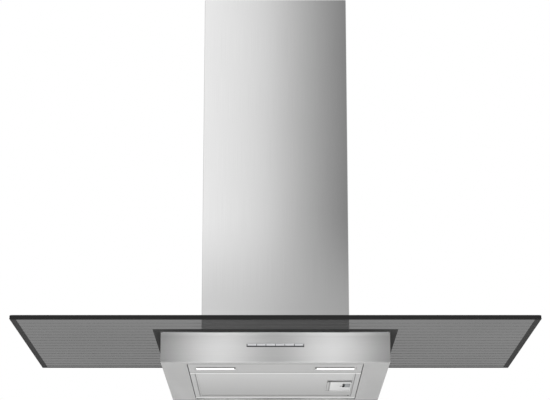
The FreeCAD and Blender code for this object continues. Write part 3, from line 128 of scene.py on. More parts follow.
def dressNode(node, material, bevel=None, sharp=35):
    # a copy of the CAD node, merged and with its flat triangles joined, so that its edges can be rounded
    bm = bmesh.new()
    bm.from_mesh(nodes[node].data)
    bmesh.ops.remove_doubles(bm, verts=bm.verts, dist=1e-6)
    bmesh.ops.dissolve_limit(bm, angle_limit=math.radians(0.5), verts=bm.verts, edges=bm.edges)
    return addPiece(node + "Look", bm, material, nodes[node]["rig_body"], [node], bevel, sharp)


def dressPlain(node, material):
    nodes[node].data.materials.clear()
    nodes[node].data.materials.append(material)


def box(bm, low, high):
    size = Vector(high) - Vector(low)
    middle = (Vector(high) + Vector(low)) / 2
    place = Matrix.Translation(middle / 1000) @ Matrix.Diagonal((*(size / 1000), 1.0))
    return bmesh.ops.create_cube(bm, size=1.0, matrix=place)["verts"]


# Sheet steel

steelLook = {
    "chimneyGrain": (2600.0, 2600.0, 9.0),   # strokes per metre across and along the brushing
    "bodyGrain": (9.0, 2600.0, 2600.0),
    "grainDepth": 0.012,
    "strokeTone": (0.965, 1.035),            # darkest and lightest stroke
    "roughness": (0.29, 0.36),               # smoothest and roughest cloud
    "edge": 0.2,                             # rounding of cut and folded edges
    "chimneyWidth": (-134, 134), "bodyWidth": (-200, 200), "filterWidth": (-148, 144), "gripWidth": (95, 141),
    "bodyDepth": (-389, 0), "lampPanelDepth": (-378.6, -298.6), "surroundDepth": (-298.2, -10.4),
    "filterDepth": (-286, -46),
    "chimneyTopZ": 65, "chimneyFootZ": -136, "belowGlassZ": -142, "bodyTopZ": -190,
}

# painted light and reflection, in soft falls of tone: a few tones for each form, matched against the photograph and
# joined by a smooth curve. The chimney is painted lit from its left and darker to its right, less so near the glass,
# and darker still where it is seen through the glass
chimneyTop = [(0.0, "EAEAEA"), (0.5, "CACACA"), (1.0, "848484")]
chimneyFoot = [(0.0, "D2D2D2"), (0.5, "BCBCBC"), (1.0, "A2A2A2")]
chimneyBehindGlass = [(0.0, "9C9C9C"), (1.0, "8E8E8E")]
# painted reflections of two soft lights, one on each side of the middle of the body's front
bodyFront = [(0.0, "8E8E8E"), (0.24, "D4D4D4"), (0.5, "AEAEAE"), (0.76, "D4D4D4"), (1.0, "8E8E8E")]
# undersides, painted light and shade: a tone laid from front to rear, which falls towards the rear on the filter and
# is dark along the rear of the body, with a painted bright line where a bend catches the light and a painted dark
# one where an edge stands in its own shade
surroundStops = [(0.000, "ACACAC"), (0.014, "ACACAC"), (0.018, "E8E8E8"), (0.042, "E8E8E8"), (0.050, "BCBCBC"),
                 (0.911, "B0B0B0"), (0.914, "F8F8F8"), (0.954, "F8F8F8"), (0.958, "B0B0B0"), (1.000, "B0B0B0")]
filterStops = [(0.000, "DEDEDE"), (0.010, "DEDEDE"), (0.014, "CACACA"), (1.000, "A8A8A8")]
bodyUnder = [(0.000, "B6B6B6"), (0.965, "B1B1B1"), (0.973, "808080"), (1.000, "808080")]
lampPanelStops = [(0.000, "6E6E6E"), (0.026, "6E6E6E"), (0.032, "B8B8B8"), (0.930, "B8B8B8"), (0.950, "929292"),
                  (1.000, "929292")]


def bandsAlong(tree, spot, axis, span, stops, curve="LINEAR"):
    # tones laid across a surface from one coordinate to another
    along = addNode(tree, "ShaderNodeMapRange", {"Value": spot.outputs[axis], "From Min": mm(span[0]),
                                                 "From Max": mm(span[1])})
    ramp = addNode(tree, "ShaderNodeValToRGB", {"Fac": along.outputs[0]}, stops)
    ramp.color_ramp.interpolation = curve
    return ramp.outputs[0]


def laidOver(tree, share, under, over, blend="MIX"):
    # one colour over another, by a share from 0 to 1
    return addNode(tree, "ShaderNodeMix", {0: share, 6: under, 7: over}, data_type="RGBA",
                   blend_type=blend).outputs[2]


def facesAlong(tree, normal, axis):
    # 1 where the surface looks forward, or down, along the named axis
    return addNode(tree, "ShaderNodeMapRange", {"Value": normal.outputs[axis], "From Min": -0.5,
                                                "From Max": -0.9}).outputs[0]


def paintedFrontLight(tree, spot, fronts):
    # the soft greys that a studio throws on the front, one fall of them for each height
    falls = [bandsAlong(tree, spot, "X", fronts["span"], stops, "CARDINAL") for _, stops in fronts["rows"]]
    heights = [height for height, _ in fronts["rows"]]
    tone = falls[0]
    for high, low, nextFall in zip(heights, heights[1:], falls[1:]):
        share = addNode(tree, "ShaderNodeMapRange", {"Value": spot.outputs["Z"], "From Min": mm(high),
                                                     "From Max": mm(low)}, interpolation_type="SMOOTHSTEP")
        tone = laidOver(tree, share.outputs[0], tone, nextFall)
    return tone


def paintedUndersideLight(tree, spot, undersides):
    # painted light and shade laid from front to rear
    tone = bandsAlong(tree, spot, "Y", undersides["span"], undersides["stops"])
    if "columns" in undersides:
        # dark lines where the edges of the sheet stand in their own shade
        tone = laidOver(tree, 1.0, tone, bandsAlong(tree, spot, "X", *undersides["columns"]), "MULTIPLY")
    return tone


def brushedSteel(name, grain, plain, fronts=None, undersides=None, metallic=1.0, shade=()):
    # stainless steel sheet, belt brushed: fine straight strokes, each a little lighter or darker and rougher
    # than the next, which draw the light out across them
    look = steelLook
    material, tree, shader = newMaterial(name, {"Metallic": metallic})
    place = addNode(tree, "ShaderNodeTexCoord")
    strokes = addNode(tree, "ShaderNodeMapping", {"Vector": place.outputs["Object"], "Scale": grain})
    fine = addNode(tree, "ShaderNodeTexNoise", {"Vector": strokes.outputs[0], "Scale": 1.0, "Detail": 3.0})
    cloud = addNode(tree, "ShaderNodeTexNoise", {"Vector": place.outputs["Object"], "Scale": 7.0, "Detail": 2.0})
    spot = addNode(tree, "ShaderNodeSeparateXYZ", {"Vector": place.outputs["Object"]})
    normal = addNode(tree, "ShaderNodeSeparateXYZ", {"Vector": place.outputs["Normal"]})
    colour = addNode(tree, "ShaderNodeValToRGB", {"Fac": cloud.outputs["Fac"]},
                     [(0.35, plain[0]), (0.65, plain[1])]).outputs[0]
    # painted light and reflection on faces that look forward, painted light and shade on faces that look down
    if fronts:
        colour = laidOver(tree, facesAlong(tree, normal, "Y"), colour, paintedFrontLight(tree, spot, fronts))
    if undersides:
        colour = laidOver(tree, facesAlong(tree, normal, "Z"), colour, paintedUndersideLight(tree, spot, undersides))
    stroke = addNode(tree, "ShaderNodeMapRange", {"Value": fine.outputs["Fac"], "From Min": 0.3, "From Max": 0.7,
                                                  "To Min": look["strokeTone"][0],
                                                  "To Max": look["strokeTone"][1]})
    scaled = addNode(tree, "ShaderNodeVectorMath", {0: colour, "Scale": stroke.outputs[0]}, operation="SCALE")
    # painted light and shade: the colour scaled up or down by height
    for low, high in shade:
        lift = addNode(tree, "ShaderNodeMapRange", {"Value": spot.outputs["Z"], "From Min": mm(low[0]),
                                                    "From Max": mm(high[0]), "To Min": low[1], "To Max": high[1]})
        scaled = addNode(tree, "ShaderNodeVectorMath", {0: scaled.outputs[0], "Scale": lift.outputs[0]},
                         operation="SCALE")
    tree.links.new(scaled.outputs[0], shader.inputs["Base Color"])
    rough = addNode(tree, "ShaderNodeMapRange", {"Value": cloud.outputs["Fac"], "From Min": 0.3, "From Max": 0.7,
                                                 "To Min": look["roughness"][0],
                                                 "To Max": look["roughness"][1]})
    tree.links.new(rough.outputs[0], shader.inputs["Roughness"])
    bump = addNode(tree, "ShaderNodeBump", {"Height": fine.outputs["Fac"], "Strength": 0.25,
                                            "Distance": mm(look["grainDepth"])})
    tree.links.new(bump.outputs[0], shader.inputs["Normal"])
    return material


chimneyRows = [(steelLook["chimneyTopZ"], chimneyTop), (steelLook["chimneyFootZ"], chimneyFoot)]
lowerRows = chimneyRows + [(steelLook["belowGlassZ"], chimneyBehindGlass)]
# painted light: pairs of a height and a brightness that scale the colour, to lift what the glass shades, the lower
# chimney near and behind the glass and the top of the body's front under it; the body's front is also painted darker
# towards its bottom
lowerShade = [((-138, 1.05), (-122, 1.0)), ((-146, 1.24), (-142.5, 1.0))]
bodyShade = [((-242, 0.81), (-197, 1.10)), ((-198, 1.0), (-192, 1.35))]
chimneySteel = brushedSteel("brushedStainlessChimney", steelLook["chimneyGrain"], ("B2B2B2", "B6B6B6"),
                            {"span": steelLook["chimneyWidth"], "rows": chimneyRows})
lowerSteel = brushedSteel("brushedStainlessLowerChimney", steelLook["chimneyGrain"], ("B2B2B2", "B6B6B6"),
                          {"span": steelLook["chimneyWidth"], "rows": lowerRows}, shade=lowerShade)
bodySteel = brushedSteel("brushedStainlessBody", steelLook["bodyGrain"], ("B1B1B1", "B5B5B5"),
                         {"span": steelLook["bodyWidth"], "rows": [(steelLook["bodyTopZ"], bodyFront)]},
                         {"span": steelLook["bodyDepth"], "stops": bodyUnder}, metallic=0.35, shade=bodyShade)
lampPanelSteel = brushedSteel("brushedStainlessLampPanel", steelLook["bodyGrain"], ("BABABA", "BEBEBE"), None,
                              {"span": steelLook["lampPanelDepth"], "stops": lampPanelStops})
surroundSteel = brushedSteel("brushedStainlessSurround", steelLook["bodyGrain"], ("BCBCBC", "C0C0C0"), None,
                             {"span": steelLook["surroundDepth"], "stops": surroundStops})
for node, material in (("lower_chimney", lowerSteel), ("upper_chimney", chimneySteel),
                       ("body_casing", bodySteel), ("top_plate", bodySteel), ("lamp_panel", lampPanelSteel),
                       ("filter_surround", surroundSteel)):
    dressNode(node, material, steelLook["edge"])
print("sheet steel dressed")

# Glass canopy and what is printed on it

glassLook = {
    "halfWidth": 449.0, "front": -500.0, "rear": -50.0, "low": -190.0,
    "edge": 0.15, "tint": ("7F7F7F", "838383"),
    "frontBorder": 9.3, "sideBorder": 10.5, "rearBorder": 10.0, "rearGapHalfWidth": 110.0,
    "patchHalfWidth": 213.0, "patchFront": -413.0, "bodyHalfWidth": 200.5, "bodyFront": -390.0,
    "firstLine": -462.9, "lineStep": 24.35, "frontLine": 2.0, "rearLine": 4.6, "printDepth": 0.04,
    "printGap": 0.01,
}


def smokedGlass(name, mirrorWeight):
    # grey float glass, heat strengthened and polished: it lets a fifth of the light through, and mirrors a
    # little of the room on its upper side
    material, tree, shader = newMaterial(name, {"Transmission Weight": 1.0, "IOR": 1.008, "Coat IOR": 1.5,
                                                "Coat Roughness": 0.01})
    side = addNode(tree, "ShaderNodeNewGeometry")
    mirror = addNode(tree, "ShaderNodeMapRange", {"Value": side.outputs["Backfacing"], "To Min": mirrorWeight,
                                                  "To Max": 0.0})
    tree.links.new(mirror.outputs[0], shader.inputs["Coat Weight"])
    place = addNode(tree, "ShaderNodeTexCoord")
    cloud = addNode(tree, "ShaderNodeTexNoise", {"Vector": place.outputs["Object"], "Scale": 5.0, "Detail": 1.0})
    tone = addNode(tree, "ShaderNodeValToRGB", {"Fac": cloud.outputs["Fac"]},
                   list(zip((0.3, 0.7), glassLook["tint"])))
    tree.links.new(tone.outputs[0], shader.inputs["Base Color"])
    wave = addNode(tree, "ShaderNodeMapRange", {"Value": cloud.outputs["Fac"], "To Min": 0.01, "To Max": 0.03})
    tree.links.new(wave.outputs[0], shader.inputs["Roughness"])
    return material


glassFace = smokedGlass("polishedSmokedGlass", 0.0)
glassTop = smokedGlass("polishedSmokedGlassTop", 1.0)


def inkPrint(name, middle, side, rough, blend=(150, 215)):
    # ceramic ink screen printed and fired into the glass: a dead even black with a faint silk grain; painted light,
    # as the room would lift it, makes it a softer grey towards the sides
    material, tree, shader = newMaterial(name, {"IOR": 1.5, "Specular IOR Level": 0.0})
    place = addNode(tree, "ShaderNodeTexCoord")
    spot = addNode(tree, "ShaderNodeSeparateXYZ", {"Vector": place.outputs["Object"]})
    aside = addNode(tree, "ShaderNodeMath", {0: spot.outputs["X"]}, operation="ABSOLUTE")
    spread = addNode(tree, "ShaderNodeMapRange", {"Value": aside.outputs[0], "From Min": mm(blend[0]),
                                                  "From Max": mm(blend[1])})
    tone = addNode(tree, "ShaderNodeValToRGB", {"Fac": spread.outputs[0]}, [(0.0, middle), (1.0, side)])
    grain = addNode(tree, "ShaderNodeTexNoise", {"Vector": place.outputs["Object"], "Scale": 900.0})
    silk = addNode(tree, "ShaderNodeMapRange", {"Value": grain.outputs["Fac"], "From Min": 0.3, "From Max": 0.7,
                                                "To Min": 0.92, "To Max": 1.08})
    shaded = addNode(tree, "ShaderNodeVectorMath", {0: tone.outputs[0], "Scale": silk.outputs[0]},
                     operation="SCALE")
    tree.links.new(shaded.outputs[0], shader.inputs["Base Color"])
    gloss = addNode(tree, "ShaderNodeMapRange", {"Value": grain.outputs["Fac"], "To Min": rough,
                                                 "To Max": rough + 0.1})
    tree.links.new(gloss.outputs[0], shader.inputs["Roughness"])
    return material


frit = inkPrint("firedCeramicInk", "383838", "484848", 0.4)
frontFrit = inkPrint("firedCeramicInkFront", "2E2E2E", "2F2F2F", 0.4)
edgeGlass = inkPrint("polishedGlassEdge", "252525", "262626", 0.3)
# the real lines are half as wide and fully black, drawn wider and paler so that they stay clean from afar
halftone = inkPrint("halftoneCeramicInk", "525252", "6A6A6A", 0.4, (134, 150))


def buildGlass():
    # the pane: the CAD outline with its hole for the blower's box, the arrises ground to a small round
    bm = bmesh.new()
    bm.from_mesh(nodes["glass_canopy"].data)
    bmesh.ops.remove_doubles(bm, verts=bm.verts, dist=1e-6)
    bmesh.ops.dissolve_limit(bm, angle_limit=math.radians(0.5), verts=bm.verts, edges=bm.edges)
    bm.normal_update()
    for face in bm.faces:
        if face.normal.z < -0.9:
            face.material_index = 0
        elif face.normal.z > 0.9:
            face.material_index = 1
        elif face.normal.y < 0.9:
            face.material_index = 2
    pane = addPiece("glassPane", bm, [glassFace, glassTop, edgeGlass], hoodBody, ["glass_canopy"],
                    glassLook["edge"])
    pane.modifiers["edges"].material = 2


def flatPrint(name, rectangles, material):
    bm = bmesh.new()
    top = glassLook["low"] - glassLook["printGap"]
    for x0, y0, x1, y1 in rectangles:
        box(bm, (x0, y0, top - glassLook["printDepth"]), (x1, y1, top))
    return addPiece(name, bm, material, hoodBody)


def buildPrints():
    look = glassLook
    side = look["halfWidth"] - look["edge"]
    front, rear = look["front"] + look["edge"], look["rear"] - look["edge"]
    inFront, inRear = front + look["frontBorder"], rear - look["rearBorder"]
    inSide, patch = side - look["sideBorder"], look["patchHalfWidth"]
    flatPrint("printedBorder", [(-side, inFront, -inSide, inRear), (inSide, inFront, side, inRear)], frit)
    gap, body, bodyFace = look["rearGapHalfWidth"], look["bodyHalfWidth"], look["bodyFront"]
    flatPrint("printedFrontBorder", [(-side, front, side, inFront), (-side, inRear, -gap, rear),
                                     (gap, inRear, side, rear)], frontFrit)
    flatPrint("printedPatch", [(-patch, look["patchFront"], patch, bodyFace), (-patch, bodyFace, -body, inRear),
                               (body, bodyFace, patch, inRear)], frit)
    # lines across the glass, closer to the wall a little wider
    lines = []
    y = look["firstLine"]
    while y < inRear - look["rearLine"]:
        width = look["frontLine"] + (look["rearLine"] - look["frontLine"]) * (y - inFront) / (inRear - inFront)
        if y > look["patchFront"] - width:
            lines += [(-inSide, y, -patch, y + width), (patch, y, inSide, y + width)]
        else:
            lines.append((-inSide, y, inSide, y + width))
        y += look["lineStep"]
    flatPrint("printedLines", lines, halftone)


buildGlass()
buildPrints()
print("glass canopy built")

# Other finishes


def mouldedPlastic(name, dark, light, rough, grain=0.6, level=0.5, bands=None):
    # injection moulded and spark eroded in the tool: an even colour under a fine leathery grain
    material, tree, shader = newMaterial(name, {"IOR": 1.49, "Specular IOR Level": level})
    place = addNode(tree, "ShaderNodeTexCoord")
    cloud = addNode(tree, "ShaderNodeTexNoise", {"Vector": place.outputs["Object"], "Scale": 30.0, "Detail": 3.0})
    grit = addNode(tree, "ShaderNodeTexNoise", {"Vector": place.outputs["Object"], "Scale": 1000 / grain})
    tone = addNode(tree, "ShaderNodeValToRGB", {"Fac": cloud.outputs["Fac"]}, [(0.35, dark), (0.65, light)])
    tone = tone.outputs[0]
    # painted light and shade: tones multiplied over the colour along one axis
    if bands:
        spot = addNode(tree, "ShaderNodeSeparateXYZ", {"Vector": place.outputs["Object"]})
        tone = laidOver(tree, 1.0, tone, bandsAlong(tree, spot, *bands), "MULTIPLY")
    tree.links.new(tone, shader.inputs["Base Color"])
    gloss = addNode(tree, "ShaderNodeMapRange", {"Value": cloud.outputs["Fac"], "From Min": 0.3, "From Max": 0.7,
                                                 "To Min": rough, "To Max": rough + 0.12})
    tree.links.new(gloss.outputs[0], shader.inputs["Roughness"])
    bump = addNode(tree, "ShaderNodeBump", {"Height": grit.outputs["Fac"], "Strength": 0.3, "Distance": mm(0.02)})
    tree.links.new(bump.outputs[0], shader.inputs["Normal"])
    return material


def platedMetal(name, dark, light, rough, flake=12.0, bite=0.004):
    # zinc, paint or anodising on sheet metal: flakes of slightly different brightness, soft highlights
    material, tree, shader = newMaterial(name, {"Metallic": 1.0})
    place = addNode(tree, "ShaderNodeTexCoord")
    cells = addNode(tree, "ShaderNodeTexVoronoi", {"Vector": place.outputs["Object"], "Scale": 1000 / flake,
                                                   "Randomness": 1.0})
    value = addNode(tree, "ShaderNodeSeparateColor", {"Color": cells.outputs["Color"]})
    tone = addNode(tree, "ShaderNodeValToRGB", {"Fac": value.outputs[0]}, [(0.1, dark), (0.9, light)])
    tree.links.new(tone.outputs[0], shader.inputs["Base Color"])
    gloss = addNode(tree, "ShaderNodeMapRange", {"Value": value.outputs[1], "To Min": rough, "To Max": rough + 0.15})
    tree.links.new(gloss.outputs[0], shader.inputs["Roughness"])
    fine = addNode(tree, "ShaderNodeTexNoise", {"Vector": place.outputs["Object"], "Scale": 700.0, "Detail": 2.0})
    bump = addNode(tree, "ShaderNodeBump", {"Height": fine.outputs["Fac"], "Strength": 0.3, "Distance": mm(bite)})
    tree.links.new(bump.outputs[0], shader.inputs["Normal"])
    return material


galvanised = platedMetal("hotDipGalvanisedSheet", "A6A9AC", "BABDBF", 0.34)
zinc = platedMetal("brightZincPlatedSteel", "B9BDC2", "CDD0D4", 0.29, 1.5)
# painted shade: dark lines along the filter's two side edges, where the gaps beside it stand in shade
filterEdgeShade = [(0.0, "FFFFFF"), (0.0114, "FFFFFF"), (0.0120, "BEBEBE"), (0.0165, "BEBEBE"), (0.0170, "FFFFFF"),
               (0.9930, "FFFFFF"), (0.9940, "DCDCDC"), (1.0, "DCDCDC")]
filterUnderside = {"span": steelLook["filterDepth"], "stops": filterStops,
                   "columns": (steelLook["filterWidth"], filterEdgeShade)}
anodisedGrain = (40.0, 900.0, 900.0)
anodised = brushedSteel("satinAnodisedAluminium", anodisedGrain, ("C0C0C0", "C4C4C4"), None, filterUnderside)
# painted shadow: the grip is dark from its front edge back past its finger slot, light behind
gripStops = [(0.0, "4A4A4A"), (0.388, "4A4A4A"), (0.394, "DADADA"), (0.700, "D6D6D6"), (1.0, "D6D6D6")]
# painted shade: a greyer strip and a dark line along the grip's left side, where its recess steps down
gripEdgeShade = [(0.0, "D4D4D4"), (0.083, "D4D4D4"), (0.100, "A6A6A6"), (0.150, "A6A6A6"), (0.156, "FFFFFF")]
# painted shade: inside the finger slot, above the face of the plate, the colour is nearly black
gripSheet = brushedSteel("satinAnodisedGrip", anodisedGrain, ("D0D0D0", "D6D6D6"), None,
                         {"span": steelLook["filterDepth"], "stops": gripStops,
                          "columns": (steelLook["gripWidth"], gripEdgeShade)},
                         shade=[((-243.46, 1.0), (-243.40, 0.05))])
silicone = mouldedPlastic("translucentSilicone", "C6C8C9", "CDCFD0", 0.5, 0.8, 0.3)
blackAbs = mouldedPlastic("mouldedBlackAbs", "1A1A1B", "222223", 0.38)
# painted shade: the holder is dark up to the top of the keys, where it stands in shade, and silver above
holderAbs = mouldedPlastic("mouldedSilverAbs", "C2C3C4", "C8C9CA", 0.4, 0.6, 0.3,
                           ("Z", (-223, -204), [(0.0, "383838"), (0.60, "383838"), (0.635, "FFFFFF")]))
# painted shade: each key darker towards its lower edge
keyAbs = mouldedPlastic("satinSilverPaintedAbs", "C0C1C3", "C8C9CB", 0.36, 0.4, 0.5,
                        ("Z", (-215, -211), [(0.0, "A8A8A8"), (0.30, "F4F4F4"), (1.0, "FFFFFF")]))
# painted shade: the bezel is greyer in front of the lens, where it stands in its own shade
bezelPc = mouldedPlastic("mouldedWhitePolycarbonate", "F2F2F1", "F8F8F7", 0.4, 0.6, 0.3,
                         ("Y", (-357, -318), [(0.0, "BEBEBE"), (0.84, "BEBEBE"), (0.87, "FFFFFF")]))
greyPp = mouldedPlastic("mouldedGreyPolypropylene", "77797B", "808284", 0.45, 1.0)
sliderAbs = mouldedPlastic("mouldedLightGreyNylon", "8E9092", "96989A", 0.4, 0.5)
nylon = mouldedPlastic("mouldedWhiteNylon", "CFCDC6", "D8D6D0", 0.4, 0.6)
motorPaint = mouldedPlastic("bakedBlackMotorPaint", "18191A", "232425", 0.35, 0.9)
driverCase = mouldedPlastic("mouldedLightGreyAbs", "B4B6B8", "BEC0C1", 0.4)
board = mouldedPlastic("whiteSolderMaskedBoard", "DCE0DA", "E3E6E1", 0.3, 1.5)

lensLook = {"glow": 1.15, "shadeFront": -330.6, "shadeEnd": -329.9, "inner": 74.5}


def frostedLens():
    # opal acrylic lit from behind: white all over but for the front edge, painted as shade under the rim of the
    # lamp, and the end towards the middle, painted dark
    look = lensLook
    material, tree, shader = newMaterial("frostedAcrylicLens", {"Roughness": 0.4})
    place = addNode(tree, "ShaderNodeTexCoord")
    spot = addNode(tree, "ShaderNodeSeparateXYZ", {"Vector": place.outputs["Object"]})
    aside = addNode(tree, "ShaderNodeMath", {0: spot.outputs["X"]}, operation="ABSOLUTE")
    deep = addNode(tree, "ShaderNodeMapRange", {"Value": spot.outputs["Y"], "From Min": mm(look["shadeFront"]),
                                                "From Max": mm(look["shadeEnd"])})
    along = addNode(tree, "ShaderNodeMapRange", {"Value": aside.outputs[0], "From Min": mm(look["inner"] - 2),
                                                 "From Max": mm(look["inner"])})
    lit = addNode(tree, "ShaderNodeMath", {0: deep.outputs[0], 1: along.outputs[0]}, operation="MULTIPLY")
    grain = addNode(tree, "ShaderNodeTexNoise", {"Vector": place.outputs["Object"], "Scale": 400.0})
    frost = addNode(tree, "ShaderNodeMapRange", {"Value": grain.outputs["Fac"], "To Min": 0.96, "To Max": 1.0})
    level = addNode(tree, "ShaderNodeMath", {0: lit.outputs[0], 1: frost.outputs[0]}, operation="MULTIPLY")
    tone = addNode(tree, "ShaderNodeValToRGB", {"Fac": level.outputs[0]}, [(0.0, "262626"), (1.0, "FDFDFC")])
    tree.links.new(tone.outputs[0], shader.inputs["Base Color"])
    tree.links.new(tone.outputs[0], shader.inputs["Emission Color"])
    glow = addNode(tree, "ShaderNodeMath", {0: level.outputs[0], 1: look["glow"]}, operation="MULTIPLY")
    tree.links.new(glow.outputs[0], shader.inputs["Emission Strength"])
    return material


def expandedMesh(name, pitch):
    # expanded aluminium mesh, anodised: rows of small diamonds that cross, each with a bright and a dark flank,
    # painted into the colour as light and shade as well as bumped
    material, tree, shader = newMaterial(name, {"Metallic": 1.0, "Roughness": 0.4})
    place = addNode(tree, "ShaderNodeTexCoord")
    spot = addNode(tree, "ShaderNodeSeparateXYZ", {"Vector": place.outputs["Object"]})
    waves = []
    for way in ("ADD", "SUBTRACT"):
        run = addNode(tree, "ShaderNodeMath", {0: spot.outputs["X"], 1: spot.outputs["Y"]}, operation=way)
        turn = addNode(tree, "ShaderNodeMath", {0: run.outputs[0], 1: 2 * math.pi / mm(pitch)},
                       operation="MULTIPLY")
        waves.append(addNode(tree, "ShaderNodeMath", {0: turn.outputs[0]}, operation="SINE").outputs[0])
    cross = addNode(tree, "ShaderNodeMath", {0: waves[0], 1: waves[1]}, operation="MAXIMUM")
    level = addNode(tree, "ShaderNodeMapRange", {"Value": cross.outputs[0], "From Min": -0.6, "From Max": 1.0,
                                                 "To Min": 0.93, "To Max": 1.02})
    # painted light and shade, as on the filter's frame
    tone = paintedUndersideLight(tree, spot, filterUnderside)
    shaded = addNode(tree, "ShaderNodeVectorMath", {0: tone, "Scale": level.outputs[0]}, operation="SCALE")
    tree.links.new(shaded.outputs[0], shader.inputs["Base Color"])
    bump = addNode(tree, "ShaderNodeBump", {"Height": cross.outputs[0], "Strength": 0.25, "Distance": mm(0.05)})
    tree.links.new(bump.outputs[0], shader.inputs["Normal"])
    return material


lens = frostedLens()
# the real mesh has diamonds of about a millimetre, drawn twice as coarse so that they show
faceMesh = expandedMesh("expandedAluminiumMesh", 2.4)

finishes = {
    "motor_box": galvanised, "motor_box_cover": galvanised,
    "chimney_bracket": galvanised, "chimney_stay_left": galvanised, "chimney_stay_right": galvanised,
    "glass_clamp_left": galvanised, "glass_clamp_right": galvanised, "motor_bracket": galvanised,
    "impeller": galvanised, "glass_gasket": silicone, "lamp_housing_left": bezelPc,
    "lamp_housing_right": bezelPc, "switch_holder": holderAbs, "lamp_lens_left": lens, "lamp_lens_right": lens,
    "led_strip_left": board, "led_strip_right": board, "switch_board": board, "filter_frame": anodised,
    "filter_face_mesh": faceMesh, "filter_mesh_pack": faceMesh, "filter_grip": gripSheet,
    "scroll_left": greyPp, "scroll_right": greyPp, "outlet_collar": greyPp, "damper_flap_front": greyPp,
    "damper_flap_rear": greyPp, "control_box": greyPp, "control_box_lid": greyPp, "cable_gland": blackAbs,
    "terminal_block": nylon, "filter_latch": sliderAbs, "capacitor": driverCase, "led_driver": driverCase,
    "motor": motorPaint, "motor_shaft": zinc, "shaft_nut": zinc, "damper_pin": zinc,
    "glass_clamp_screws": zinc,
}
for number in range(1, 7):
    finishes["key_%d" % number] = keyAbs
rounded = {"motor_box", "motor_box_cover", "chimney_bracket", "filter_frame", "filter_grip",
           "switch_holder", "control_box", "control_box_lid", "lamp_housing_left", "lamp_housing_right",
           "filter_latch", "lamp_lens_left", "lamp_lens_right"} | {"key_%d" % n for n in range(1, 7)}
for node, material in finishes.items():
    if node in rounded:
        # the grip and the latch are too thin for more than a small round
        dressNode(node, material, 0.06 if node in ("filter_grip", "filter_latch") else steelLook["edge"])
    else:
        dressPlain(node, material)
# the bowed leaf, which flattens as the latch is pushed back against it, gets a mesh of its own
leaf = dressNode("latch_spring", zinc)
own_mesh(leaf)
print("inner parts dressed")

# Small parts too fine for the solids

smallLook = {
    "keyPitch": 16.4, "keyStart": -48.8, "keys": 6,
    "gapShadeWidth": 0.8, "gapShadeFront": -389.6, "gapShadeRear": -388.82, "gapShadeLow": -214.9,
    "gapShadeHigh": -212.0, "gapShadeEdge": 0.15,
    "rivetRadius": 1.6, "rivetHeight": 0.9, "rivetX": (-142.6, 139.6), "rivetY": -51.5, "rivetZ": -244.0,
    "headRadius": 3.4, "headHeight": 1.9,
    "coverX": 101, "coverHeights": (-172, -41, 96), "coverFront": -263.2,
    "lidX": 68, "lidDepths": (-73, -21), "lidTop": 151.2,
}


def buildKeyGapShade():
    # thin black walls between the keys, put in as painted shade for the gaps there: they show as dark ticks and
    # clear each key by a tenth of a millimetre
    look = smallLook
    bm = bmesh.new()
    for number in range(look["keys"]):
        x = look["keyStart"] - look["gapShadeWidth"] + look["keyPitch"] * number
        box(bm, (x, look["gapShadeFront"], look["gapShadeLow"]),
            (x + look["gapShadeWidth"], look["gapShadeRear"], look["gapShadeHigh"]))
    addPiece("keyGapShade", bm, blackAbs, hoodBody, bevel=look["gapShadeEdge"])


def dome(bm, radius, height, place):
    # a flat-bottomed dome, its edge on the sheet, turned up from half an arc
    steps = 5
    points = [Vector((radius * math.sin(turn), 0, height * math.cos(turn)))
              for turn in (math.pi / 2 * step / steps for step in range(steps + 1))]
    verts = [bm.verts.new(place @ (point / 1000)) for point in points]
    edges = [bm.edges.new(pair) for pair in zip(verts, verts[1:])]
    axis = place.to_3x3() @ Vector((0, 0, 1))
    bmesh.ops.spin(bm, geom=verts + edges, cent=place.translation, axis=axis, angle=math.tau, steps=20,
                   use_merge=True)


def seatedAt(spot, way):
    # a place on a surface, with Z along the way the surface looks
    return Matrix.Translation(mm(*spot)) @ Vector(way).to_track_quat("Z", "Y").to_matrix().to_4x4()


def buildRivets():
    look = smallLook
    bm = bmesh.new()
    for x in look["rivetX"]:
        dome(bm, look["rivetRadius"], look["rivetHeight"], seatedAt((x, look["rivetY"], look["rivetZ"]), (0, 0, -1)))
    addPiece("filterRivets", bm, blackAbs, "filter", sharp=50)


def pressedHead(bm, place):
    # a low round head with a hexagon socket, ring upon ring: share of the radius, of the height, and corners
    look = smallLook
    profile = ((1.0, 0.0, 24), (1.0, 0.55, 24), (0.92, 0.84, 24), (0.75, 1.0, 24), (0.45, 1.0, 6), (0.45, 0.35, 6))
    rings = []
    for share, rise, count in profile:
        lift = Matrix.Translation((0, 0, mm(look["headHeight"] * rise)))
        ring = bmesh.ops.create_circle(bm, segments=count, radius=mm(look["headRadius"] * share),
                                       matrix=place @ lift)["verts"]
        rings.append([edge for edge in bm.edges if all(end in ring for end in edge.verts)])
    for low, high in zip(rings, rings[1:]):
        bmesh.ops.bridge_loops(bm, edges=low + high)
    bmesh.ops.edgeloop_fill(bm, edges=rings[-1])


def buildScrews():
    # six in the motor box's cover and four in the control box's lid
    look = smallLook
    bm = bmesh.new()
    for side in (-1, 1):
        for z in look["coverHeights"]:
            pressedHead(bm, seatedAt((side * look["coverX"], look["coverFront"], z), (0, -1, 0)))
    for side in (-1, 1):
        for y in look["lidDepths"]:
            pressedHead(bm, seatedAt((side * look["lidX"], y, look["lidTop"]), (0, 0, 1)))
    bmesh.ops.recalc_face_normals(bm, faces=bm.faces)
    addPiece("coverScrews", bm, zinc, hoodBody, sharp=30)


buildKeyGapShade()
buildRivets()
buildScrews()
print("small parts built")

# Studio

